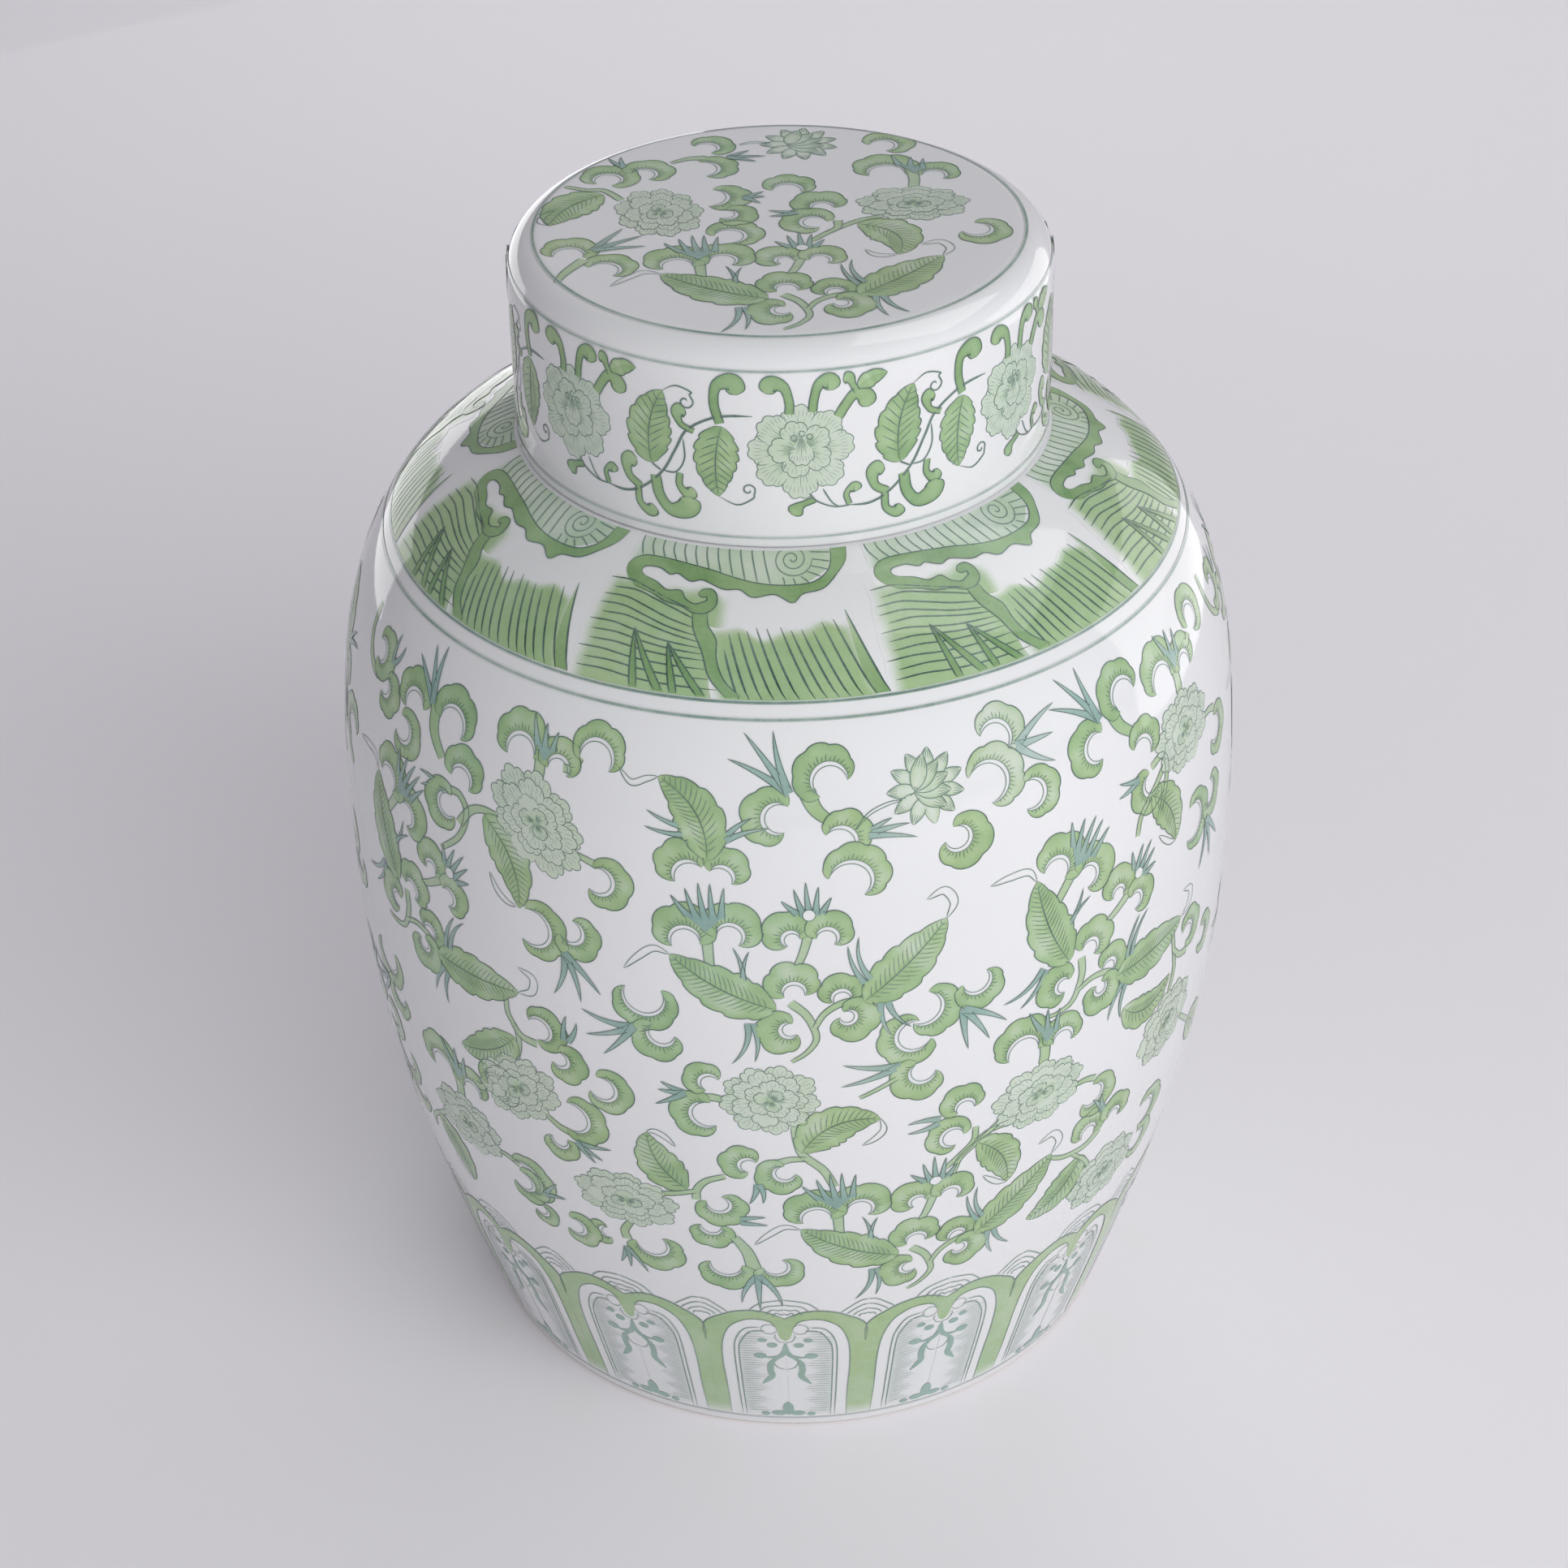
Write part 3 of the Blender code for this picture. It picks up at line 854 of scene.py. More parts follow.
def leaf_over_lobes():
    """A leaf that arches down over a pair of lobes, with thorns to both sides."""
    marks = lobe(-1.9, -19.4, 4.3, 50, 200, 6.2, 3.2, 4, deep=0.03)
    marks += lobe(5.4, -19.2, 3.3, 140, -20, 5.4, 3.0, 3, deep=0.03)
    for base, tip in (((-2, -5.4), (-14, -1.6)), ((-2, -7), (-14.4, -6.2)), ((7, -7), (13.8, -1.4)),
                      ((7, -8), (18.2, -4.2))):
        marks += thorn(base, tip, 2.2, 0.06)
    marks += leaf((2.2, -14), (-11.4, 7.6), 13.0, -0.17, 5, 0.04)
    return marks + curl([(-11.4, 7.6), (-14.5, 6.6), (-18.6, 5), (-22.4, 8.4)], 1.8)


def side_scroll():
    """An upper hook and a lower hook, back to back, with three long thorns away from them."""
    marks = lobe(4.6, 4.4, 5.6, 28, -205, 5.0, 2.4, 5, deep=0.03)
    marks += lobe(9.2, -7.2, 3.6, 128, 352, 5.4, 2.6, 4, deep=0.03)
    for tip, bow in (((-14, -4.6), 0.08), ((-13, -13), 0.05), ((-8, -18.5), 0.03)):
        marks += thorn((1.4, -6.6), tip, 3.0, bow)
    return marks


def small_lobe_string():
    """A curling stem with one thorned lobe, a second below it and a drooping one at its end."""
    marks = stem([(-9.5, 11), (-9, 3), (-5.5, -3), (0, -5.8), (4.5, -4.6)], 1.6, 2.6)
    marks += lobe(0, 1.2, 3.1, 240, 490, 5.4, 3.0, 4, deep=0.03)
    marks += thorn((8.6, 1.5), (9.0, 10.5), 2.2, 0.08)
    marks += thorn((9.0, 1.5), (12.8, 8.6), 2.2, -0.10)
    marks += lobe(6.6, -6.2, 2.7, 80, -125, 6.0, 2.6, 4, deep=0.03)
    marks += lobe(19.6, -12.6, 3.6, 108, -150, 5.0, 2.2, 3)
    return marks


def lotus_scroll():
    """A lotus on a thin stalk, a lobe hanging below it, and a pale thorned scroll to its right."""
    marks = curl([(-17, -10), (-13, -6), (-8, -4), (-4, -3.6)], 0.9)
    marks += lobe(9.4, -16.8, 3.2, 104, -168, 6.0, 2.4, 4, deep=0.03) + lotus(2.2, -1.2)
    marks += lobe(23.0, 6.8, 4.4, -70, 155, 5.0, 2.2, 4, deep=-0.17)
    marks += lobe(18.8, -4.2, 5.6, 150, -80, 5.8, 1.2, 5, deep=-0.15)
    for tip, bow in (((43, 10.9), 0.06), ((40.8, 3.5), 0.0), ((40, -4.2), -0.05)):
        marks += thorn((29, 3.4), tip, 3.0, bow, 0.12)
    return marks + lobe(31, -10.8, 4.0, 112, -110, 4.8, 2.0, 4, deep=-0.05)


print("sprays hold", len(twin_leaf_spray()), len(peony_spray()), len(thorned_scroll()), "marks")

# %% [markdown]
# ## From the flat to the pot
# A point on the wall is named by its azimuth, and by its distance along the wall up
# from the foot. Looking the distance up in the wall's own table gives the radius,
# the height and the outward normal there. A spray is first turned in the flat, then
# its x becomes azimuth at the radius of its own middle, so a spray keeps its true
# size wherever it is painted. Each mark is lifted a hair above the one before it,
# because two marks in the same plane would flicker through each other.

# %% The wall's table and the surfaces that take paint
LIFT = 0.045
step_length = np.linalg.norm(np.diff(wall_curve, axis=0), axis=1)
WALL_DISTANCE = np.concatenate([[0], np.cumsum(step_length)])
WALL_NORMAL = -sideways(wall_curve)
FRONT = -math.pi / 2


def on_wall(azimuth, distance, lift):
    """The wall point at that azimuth and distance, moved out along the normal, with the normal."""
    radius, height, out, up = (np.interp(distance, WALL_DISTANCE, column) for column in
                               (*wall_curve.T, *WALL_NORMAL.T))
    turn = FRONT + azimuth
    normal = np.stack([out * np.cos(turn), out * np.sin(turn), up], -1)
    place = np.stack([radius * np.cos(turn), radius * np.sin(turn), height], -1)
    return place + normal * lift, normal


def on_lid_side(azimuth, height, lift):
    """The lid's upright face: radius is constant and the normal is level."""
    turn = FRONT + azimuth
    normal = np.stack([np.cos(turn), np.sin(turn), 0 * turn], -1)
    place = np.stack([LID_RADIUS * np.cos(turn), LID_RADIUS * np.sin(turn), height], -1)
    return place + normal * lift, normal


def on_lid_top(x, y, lift):
    """The lid's top, seen from above with the front at the bottom; past the flat it follows the rounding."""
    radius = np.hypot(x, y)
    lean = np.arcsin(np.clip((radius - LID_RADIUS + LID_ROUND) / LID_ROUND, 0, 1))
    out = np.sin(lean) / np.maximum(radius, 1)
    normal = np.stack([x * out, y * out, np.cos(lean)], -1)
    return np.stack([x, y, TOP - LID_ROUND * (1 - np.cos(lean))], -1) + normal * lift, normal


def wander(place, length):
    """A slow wave with no pattern to the eye: three crossed sines of nearly equal length, about -1 to 1."""
    x, y, z = (2 * np.pi * place / length).transpose(-1, *range(place.ndim - 1))
    return (np.sin(x + 1.7 * np.sin(0.61 * z)) + np.sin(0.83 * y + 1.3 * np.sin(0.71 * x) + 2)
            + np.sin(0.91 * z + 1.9 * np.sin(0.67 * y) + 4)) / 3


# %% What a later wash covers is left out
def boundary(grid):
    """The closed loop round a grid: along its first row, down its last column, back and up again."""
    return np.concatenate([grid[0], grid[1:, -1], grid[-1, -2::-1], grid[-2:0:-1, 0]])


def inside(points, loop):
    """Even-odd rule: a point is inside when a ray to its right crosses the loop an odd number of times."""
    found = np.zeros(len(points), bool)
    near = ((points >= loop.min(axis=0)) & (points <= loop.max(axis=0))).all(axis=1)
    x, y = points[near, :1], points[near, 1:]
    (x1, y1), (x2, y2) = loop.T, np.roll(loop, -1, axis=0).T
    crosses = ((y1 > y) != (y2 > y)) & (x < (x2 - x1) * (y - y1) / (y2 - y1 + 1e-12) + x1)
    found[near] = crosses.sum(axis=1) % 2 == 1
    return found


def uncovered(marks):
    """For each mark, which of its points no later wash hides. A painter never paints what will be hidden."""
    washes = [boundary(grid[0]) if kind != "ink" and len(grid) == 1 else None for kind, grid, _, _ in marks]
    shown = []
    for order, (kind, grid, _, _) in enumerate(marks):
        points = grid.reshape(-1, 2)
        seen = np.ones(len(points), bool)
        for loop in washes[order + 1:]:
            if loop is not None:
                seen &= ~inside(points, loop)
        shown.append(seen.reshape(grid.shape[:-1]))
    return shown


# %% Lay marks on the pot
PIECE_ENDING = {"leaf": "green", "petal": "petals", "thorn": "teal", "ink": "lines"}
painted = {}


def lay(name, marks, surface, x=0.0, y=0.0, turn=0.0, scale=1.0, hide=False):
    """Turns and moves marks, wraps them on a surface, and files them under a piece name. A mark lies
    a hair above the mark before it. With hide, what a later wash covers is left out."""
    angle = math.radians(turn)
    matrix = np.array([[math.cos(angle), math.sin(angle)], [-math.sin(angle), math.cos(angle)]])
    shown = uncovered(marks) if hide else [np.ones(grid.shape[:-1], bool) for _, grid, _, _ in marks]
    for order, (kind, grid, strength, layer) in enumerate(marks):
        flat = grid @ matrix
        lift = LIFT * (0.6 + layer + 0.02 * (order % 40))
        place, normal = surface(x + flat[..., 0] * scale, y + flat[..., 1], lift)
        tone = strength * (1 + 0.10 * wander(place, 31) + 0.06 * wander(place, 7))
        warm = 0.5 + 0.35 * wander(place, 83) + 0.15 * wander(place, 13)
        chart = np.stack([tone, warm + 0 * tone], -1).clip(0.004, 0.996)
        key = f"{name}_{PIECE_ENDING[kind]}"
        painted.setdefault(key, (kind, []))[1].append((place, normal, chart, shown[order]))


def on_jar(name, marks, azimuth, distance, **how):
    """Lays marks on the wall with their origin at an azimuth in degrees and a distance in mm."""
    radius = float(np.interp(distance, WALL_DISTANCE, wall_curve[:, 0]))
    lay(name, marks, on_wall, math.radians(azimuth), distance, scale=1 / radius, hide=True, **how)


print("wall length, mm:", round(float(WALL_DISTANCE[-1]), 1))

# %% [markdown]
# ## The field of the jar
# The front holds about two dozen sprays. Some of the scrolls between them are
# drawn once only, straight in azimuth and distance, and a small helper turns those
# into millimetres round the middle of their own group.

# %% Once-only groups on the wall
def group_at(azimuth, distance):
    """Returns a function that gives local mm for an (azimuth, distance) near the group's middle."""
    radius = float(np.interp(distance, WALL_DISTANCE, wall_curve[:, 0]))

    def local(a, s):
        return math.radians(a - azimuth) * radius, s - distance

    return local


def right_scroll():
    """Three interlocking hooks right of the twin leaves, with thorns below right and to the left."""
    at = group_at(17, 178)
    marks = lobe(*at(15.2, 184), 5.3, 70, -118, 5.6, 2.6, 5)
    marks += lobe(*at(22.0, 189.2), 3.9, 190, 400, 5.0, 2.6, 4)
    marks += lobe(*at(14.4, 175.2), 4.8, -25, -282, 5.2, 2.4, 5)
    for tip, bow in (((21.1, 166.5), -0.03), ((23.9, 168), 0.03), ((26.2, 172.5), 0.05)):
        marks += thorn(at(20.4, 180.5), at(*tip), 3.2, bow)
    for tip, bow in (((5.6, 168), 0.05), ((5.4, 160.5), 0.04)):
        marks += thorn(at(12.6, 165.6), at(*tip), 3.2, bow)
    marks += lobe(*at(15.4, 162.3), 3.5, 118, 352, 5.8, 2.8, 4)
    marks += stem([at(12.2, 161.4), at(10, 158.6), at(7.6, 156)], 1.4, 1.0)
    return marks


def front_peony_group():
    """The middle peony with thorned hooks to its left, a leaf on its right and a lobed stem below."""
    at = group_at(-3, 145)
    marks = stem([at(-0.2, 147), at(0.1, 141), at(0.8, 136), at(3.2, 130), at(4.6, 123)], 2.4, 2.4)
    marks += stem([at(-8, 155.4), at(-10, 156.5), at(-12, 155.5)], 2.0, 3.0)
    marks += lobe(*at(-10.7, 150.2), 4.3, 80, 300, 5.2, 3.0, 4)
    marks += lobe(*at(-10.2, 161.2), 2.7, 240, 38, 4.6, 2.4, 3)
    for tip in ((-16.4, 160), (-16.8, 157), (-17.2, 151.6)):
        marks += thorn(at(-13.4, 157), at(*tip), 2.8, 0.03)
    marks += leaf(at(0.6, 137), at(10.2, 147.6), 13.5, 0.20, 6)
    marks += curl([at(10.2, 147.6), at(10.6, 143.5), at(9.6, 140.5), at(8, 138.4)], 2.0)
    marks += peony(*at(-3.1, 156.6), 25, 28, 1.3)
    marks += stem([at(1.2, 134.6), at(-1, 134.4), at(-3.6, 132)], 1.6, 2.6)
    marks += lobe(*at(-1.5, 129.3), 2.7, 95, 350, 5.4, 2.4, 4)
    marks += lobe(*at(-5.9, 131.6), 2.4, 262, 40, 5.6, 2.4, 4)
    marks += thorn(at(-5, 124.5), at(-6.1, 116.4), 2.6, 0.06)
    marks += thorn(at(-4.8, 124.5), at(-4.4, 116.8), 2.6, 0.1)
    return marks


def lower_peony_group():
    """The lower left peony, its hanging leaf, the S-shaped stem and the thorned pair at its foot."""
    at = group_at(-14, 106)
    marks = stem([at(-9, 127), at(-11.4, 124.4), at(-12.7, 120.4), at(-12.9, 116)], 1.8, 2.4)
    marks += stem([at(-13, 119.6), at(-15.5, 117.6), at(-18.4, 115.8)], 1.6, 1.9)
    marks += leaf(at(-14, 120), at(-18.7, 140), 13, 0.12, 5)
    marks += curl([at(-18.7, 140), at(-17.6, 141), at(-16.2, 139.4), at(-15, 136.4)], 1.9)
    marks += lobe(*at(-10.2, 115.4), 3.1, 168, 428, 5.6, 2.4, 5)
    marks += thorn(at(-7.4, 109.6), at(-4.1, 110.8), 2.4, 0.03)
    marks += thorn(at(-7.4, 108), at(-3.9, 107.4), 2.4, 0.0)
    marks += lobe(*at(-11.3, 105.4), 2.9, 8, -186, 5.6, 2.6, 4)
    marks += stem([at(-8.4, 101.5), at(-6.8, 95), at(-6.0, 87)], 2.6, 4.4)
    marks += lobe(*at(-9.8, 88.2), 4.6, 2, -192, 5.6, 3.6, 4)
    marks += lobe(*at(-3.2, 88.6), 3.6, 190, 415, 5.0, 3.2, 3)
    for tip, bow in (((-8.1, 70), -0.08), ((-5.6, 67), 0.0), ((-2.4, 69), 0.08)):
        marks += thorn(at(-5.6, 84), at(*tip), 3.0, bow)
    marks += stem([at(-22.4, 101), at(-23.6, 96), at(-23.4, 92)], 2.0, 3.0)
    marks += lobe(*at(-20, 92.6), 4.8, 182, 402, 6.0, 3.0, 4)
    for tip in ((-25.2, 80), (-23.8, 78.6), (-21.2, 78)):
        marks += thorn(at(-23.8, 88), at(*tip), 2.6, 0.03)
    marks += lobe(*at(-26.2, 92.4), 2.3, 285, 95, 4.2, 2.4, 3)
    marks += peony(*at(-22.6, 110.4), 32, 23, 0.1)
    marks += lobe(*at(-31.8, 89.8), 3.2, 108, -140, 5.2, 2.4, 4)
    marks += lobe(*at(-39, 102.4), 5.8, -82, 128, 5.0, 2.4, 4)
    marks += lobe(*at(-37.4, 90.6), 2.2, 62, -150, 4.0, 2.0, 3)
    for tip in ((-33.2, 106.4), (-32.2, 101)):
        marks += thorn(at(-35.8, 99), at(*tip), 2.4, 0.03)
    return marks


def left_peony_group():
    """The left peony with a thorned hook on its right and a string of lobes above."""
    at = group_at(-32, 148)
    marks = stem([at(-37.3, 173.6), at(-37.2, 168), at(-36, 163), at(-35.9, 157), at(-36.9, 150)], 1.6, 1.8)
    marks += leaf(at(-36.5, 160), at(-46.5, 146), 12.5, 0.10, 5)
    marks += stem([at(-36.6, 165), at(-35.2, 161.6), at(-33, 161)], 1.6, 2.6)
    marks += lobe(*at(-32.6, 166.6), 3.6, 262, 505, 5.0, 2.4, 4, deep=0.05)
    marks += thorn(at(-28.9, 166), at(-28.4, 175), 2.6, 0.05)
    marks += thorn(at(-28.4, 166), at(-27, 173.6), 2.6, -0.08)
    marks += lobe(*at(-29.9, 158.6), 2.5, 92, -140, 5.8, 2.6, 4, deep=0.03)
    marks += lobe(*at(-24.2, 152.6), 3.9, 108, -152, 4.8, 2.4, 4)
    marks += peony(*at(-37, 141), 32, 24, 0.6)
    marks += stem([at(-32.6, 135), at(-31, 132.6), at(-29.4, 131.6)], 1.6, 2.6)
    marks += lobe(*at(-29, 138), 5.2, 250, 460, 5.6, 2.6, 4, deep=0.03)
    for tip in ((-23.7, 129.6), (-25.1, 124.2), (-26.2, 122.4)):
        marks += thorn(at(-28.6, 128.6), at(*tip), 2.8, -0.03)
    marks += lobe(*at(-31.2, 127.2), 2.6, 18, -192, 4.6, 2.4, 3)
    return marks


def middle_stem_scroll():
    """A spiralling lobe under a second one, with two thorns, on the stem that leaves the crest."""
    at = group_at(20, 137)
    marks = stem([at(18.8, 123.6), at(20.6, 127.4), at(22.4, 131.8), at(22.6, 137)], 1.6, 1.8)
    marks += stem([at(22.6, 131.4), at(24.6, 133.8), at(27.4, 134.6)], 1.4, 2.0)
    marks += lobe(*at(19.6, 135.2), 3.1, 5, 285, 4.6, 2.2, 4)
    marks += lobe(*at(21.0, 145.2), 2.6, 215, -5, 5.4, 2.8, 4)
    marks += thorn(at(17.8, 143.4), at(13.6, 143.6), 2.8, -0.06)
    marks += thorn(at(17.6, 142), at(13.6, 140.2), 2.6, 0.06)
    return marks


def right_foot_group():
    """Crest lobes on a curved stem at the lower right, with a hanging leaf, a peony and a big hook."""
    at = group_at(44, 104)
    marks = stem([at(34.6, 112), at(37.4, 109), at(41, 108.6), at(43.6, 112)], 1.4, 2.6)
    marks += lobe(*at(41.2, 113.8), 2.6, -30, 212, 5.4, 2.8, 4)
    marks += lobe(*at(46, 114), 2.4, 180, -28, 5.4, 3.0, 4)
    marks += thorn(at(43.4, 119.8), at(41.1, 127), 2.8, -0.04)
    marks += thorn(at(43.6, 119.8), at(42.7, 127.6), 2.8, 0.06)
    marks += leaf(at(40.6, 105.4), at(32.6, 87.6), 13, 0.16, 5)
    marks += stem([at(39, 107.6), at(41.6, 102), at(43, 97)], 1.4, 1.6)
    marks += peony(*at(47, 89), 30, 26, 0.4)
    marks += lobe(*at(54.6, 101.6), 5.0, -95, 122, 5.2, 2.4, 4)
    marks += lobe(*at(55, 89.6), 3.4, 100, -140, 5.0, 2.4, 4)
    return marks


def far_right_group():
    """A level leaf, a peony below it and a thorned hook on the jar's right side."""
    at = group_at(54, 146)
    marks = leaf(at(45, 156), at(55.4, 154.4), 11, -0.24, 5)
    marks += stem([at(55.2, 170), at(55.8, 163), at(56.4, 155), at(55.6, 147)], 1.6, 1.8)
    marks += stem([at(55.9, 162), at(57.6, 158), at(60, 156.6)], 1.6, 2.4)
    marks += lobe(*at(59.4, 163), 3.0, -95, 150, 5.4, 2.4, 4)
    marks += lobe(*at(65, 154), 3.0, 100, -130, 5.0, 2.4, 4)
    marks += peony(*at(56, 136), 30, 25, 0.5)
    marks += stem([at(61, 130), at(63, 126), at(65, 122)], 1.6, 1.8)
    marks += leaf(at(65, 121), at(72, 104), 13, 0.12, 5)
    return marks


# %% [markdown]
# The sheet of sprays covers two fifths of the way round. The painter then starts
# the sheet again, cuts it short where it meets its own beginning, and fills the seam
# with a few loose scrolls.

# %% Lay the field: azimuth and distance of each spray's origin, its turn and its kind
def small_peony_spray():
    """The peony spray without the hook that reaches past its crest."""
    return peony_spray(side_lobe=False)


FIELD = [
    (-53.5, 192.5, -41, twin_leaf_spray), (0, 196, 0, twin_leaf_spray), (39.1, 187.2, -41, twin_leaf_spray),
    (15.6, 98, 0, twin_leaf_spray),
    (-32.5, 234.5, 0, tilted_peony_spray), (58.5, 232.5, 0, peony_spray), (31.6, 141, 0, small_peony_spray),
    (-51, 247.5, 0, paired_scroll), (-1, 249, 0, long_thorned_scroll), (41.5, 249, 0, thorned_scroll),
    (-11, 247, 0, leaf_over_lobes), (15.6, 251.5, 0, lotus_scroll),
    (-20, 184, 0, side_scroll), (-31, 196, 82, side_scroll), (-66, 252, 0, small_lobe_string),
    (61, 196, 80, side_scroll),
    (17, 178, 0, right_scroll), (-3, 145, 0, front_peony_group), (-14, 106, 0, lower_peony_group),
    (-32, 148, 0, left_peony_group), (20, 137, 0, middle_stem_scroll), (44, 104, 0, right_foot_group),
    (54, 146, 0, far_right_group), (-49, 112, 0, peony_spray), (-66, 150, 0, side_scroll),
]
SHEET_WIDTH = 144
SEAM = [
    (-79, 213, 0, thorned_pair), (-79, 176, 30, side_scroll), (-77, 138, 0, small_lobe_string),
    (-68, 110, 0, side_scroll),
]

for start, first, last in ((0, -72, 72), (SHEET_WIDTH, -72, 72), (2 * SHEET_WIDTH, -72, -5)):
    for azimuth, distance, turn, spray in FIELD:
        if first <= azimuth < last:
            on_jar("jar_field", spray(), azimuth + start, distance, turn=turn)
for azimuth, distance, turn, spray in SEAM:
    on_jar("jar_field", spray(), azimuth, distance, turn=turn)
print("field marks:", {name: len(found) for name, (_, found) in painted.items()})

# %% [markdown]
# ## The foot band
# Fifteen arched panels stand round the foot. Each has a white border whose top
# rolls into two round scroll ends, a double inner line, fine level hatching and a
# small teal device. Green fills the bars between panels and the cloud-shaped arch
# over each, and thin rainbow arcs rise from every dip.

# %% One panel of the foot band, x in degrees from its middle
FOOT_PANELS = 15


def mirrored(marks):
    """The same marks and their mirror image in x."""
    return marks + [(kind, grid * (-1, 1), tone, layer) for kind, grid, tone, layer in marks]


def blob(x, y, wide, high, kind="thorn", strength=0.55, layer=TEAL):
    """A small filled oval: a ring of points joined to its centre; x and wide are in degrees."""
    angle = np.linspace(0, 2 * np.pi, 15)
    ring = np.stack([x + wide / 2 * np.cos(angle), y + high / 2 * np.sin(angle)], 1)
    return mark(kind, np.stack([ring, np.broadcast_to((x, y), ring.shape)]), strength, layer)


def foot_panel():
    """All marks of one panel; everything left of the middle is drawn once and mirrored."""
    half = 180 / FOOT_PANELS
    edge = smooth_path([(-9.9, 5.5), (-9.8, 20), (-9.9, 36), (-9.5, 48), (-8.2, 56.5), (-6.2, 60.6),
                        (-4.4, 61.8), (-2.6, 61.2), (-1.7, 59.6), (-1.2, 57.0)], 46)
    arch = smooth_path([(-half, 5.5), (-half, 20), (-half, 36), (-half, 46), (-half + 0.1, 57.2),
                        (-8.8, 63.2), (-6.4, 65.6), (-4.2, 66.2), (-2.2, 65.2), (0, 62.4)], 46)
    fade = np.clip((edge[:, 1] - 5) / 5, 0.25, 1)
    rows = np.linspace(0, 1, 5)[:, None, None]
    green = [mark("leaf", edge + (arch - edge) * rows, 0.48 * fade + 0 * rows[:, :, 0], WASH)]
    drop = smooth_path([(-1.2, 57), (-0.95, 53.5), (-0.5, 51.2), (0, 50.6)], 10)
    green.append(wash(drop, np.stack([0 * drop[:, 0], np.linspace(62.4, 50.7, 10)], 1), "leaf", 0.47, 3))
    lines = [line(edge, 0.42, 0.5), line(arch[16:], 0.5, 0.6)]
    ball = np.linspace(0, 2 * np.pi, 25)
    lines.append(line(np.stack([-2.3 + 1.15 * np.cos(ball), 56.6 + 2.5 * np.sin(ball)], 1), 0.34, 0.4))
    for inset, rise in ((-7.9, 0.0), (-7.2, -1.6)):
        border = smooth_path([(inset, 6), (inset, 26), (inset + 0.1, 44), (inset + 0.7, 51.5 + rise),
                              (inset + 2.1, 56.4 + rise), (inset + 4.3, 57.6 + rise)], 34)
        lines.append(line(border, 0.42, 0.55, 0.1))
    level = np.arange(9, 55, 1.35)
    reach = 3.4 + 0.9 * np.sin(level * 0.9)
    short = np.linspace(0, 1, 5)[None, :]
    start = np.interp(level, [0, 50, 55], [-7.0, -7.0, -5.6])[:, None]
    hatch = np.stack([start + reach[:, None] * short, level[:, None] + 0.25 * short], -1)
    lines.append(line(hatch, 0.36, (0.40 * (1 - 0.8 * short))[..., None], 0.3))
    haze_x = np.linspace(-7.1, -0.2, 8)
    low, high = np.stack([haze_x, 0 * haze_x + 7], 1), np.stack([haze_x, 0 * haze_x + 52], 1)
    haze = 0.10 * (1 - np.linspace(0, 1, 8)) ** 1.5
    lines.append(wash(low, high, "thorn", haze + 0.02, 16, WASH - 0.5))
    teal = [blob(-3.9, 41.9, 2.0, 3.0), blob(-3.4, 50.6, 1.4, 2.0), blob(-2.0, 48, 1.6, 2.6),
            blob(-1.6, 7.8, 2.6, 2.8), blob(-3.9, 7.2, 1.5, 2.2), blob(0, 10.6, 1.9, 7.6)]
    teal.append(line(smooth_path([(-1.0, 41), (-2.2, 38.4), (-2.5, 34), (-2.3, 30.6), (-3.0, 28),
                                  (-3.9, 25.6)], 20), 2.3, 0.55, 0.35, "thorn", TEAL))
    teal.append(line(smooth_path([(0, 49), (0, 46), (-0.4, 43.4), (-1.2, 41.4), (-3.2, 41)], 18), 1.9, 0.55,
                     0.3, "thorn", TEAL))
    lines.append(line(smooth_path([(0, 43), (-1.3, 42), (-1.9, 38.8), (-1.3, 35.4), (0, 34.2)], 16),
                      0.36, 0.45))
    lines.append(line(smooth_path([(0, 49.6), (-0.9, 50), (-1.5, 52.4), (-1.3, 54)], 10), 0.36, 0.4))
    over = []
    for wide, top in ((5.0, 72), (3.7, 69.6), (2.6, 67.2), (1.6, 65)):
        over.append(line(smooth_path([(-wide, 66.4 - 0.9 * abs(wide - 5)),
                                      (-wide * 0.7, 0.35 * 66 + 0.65 * top), (-wide * 0.3, top - 0.5),
                                      (0, top)], 14), 0.42, 0.5, 0.06))
    for wide, top in ((3.9, 70.2), (3.0, 67.8), (2.1, 65.4), (1.3, 63.2)):
        over.append(line(smooth_path([(-half + wide, 60 + 4.6 * wide / 3.9),
                                      (-half + wide * 0.7, 0.4 * 62 + 0.6 * top),
                                      (-half + wide * 0.3, top - 0.5), (-half, top)], 14), 0.42, 0.5, 0.06))
    return mirrored(green + lines + teal + over)


# %% Lay the foot band
PANEL_AT = -2.3
BAND_MIDDLE = 35


def in_degrees(marks, distance):
    """Turns marks drawn in degrees of azimuth into radians. A line's middle is found again, and its
    width is set square to it in millimetres, at the size that a degree has at that distance."""
    degree = math.radians(1) * float(np.interp(distance, WALL_DISTANCE, wall_curve[:, 0]))
    radians = []
    for kind, grid, tone, layer in marks:
        if grid.shape[-2] == 2:
            path = grid.mean(axis=-2) * (degree, 1)
            half = np.linalg.norm(grid[..., 0, :] - grid[..., 1, :], axis=-1, keepdims=True) / 2
            side = sideways(path) * half
            grid = np.stack([path + side, path - side], -2) / (degree, 1)
        radians.append((kind, grid * (math.radians(1), 1), tone, layer))
    return radians


for k in range(FOOT_PANELS):
    around = math.radians(PANEL_AT + 360 / FOOT_PANELS * k)
    lay("jar_foot_band", in_degrees(foot_panel(), BAND_MIDDLE), on_wall, around)
print("foot panel marks:", len(foot_panel()))

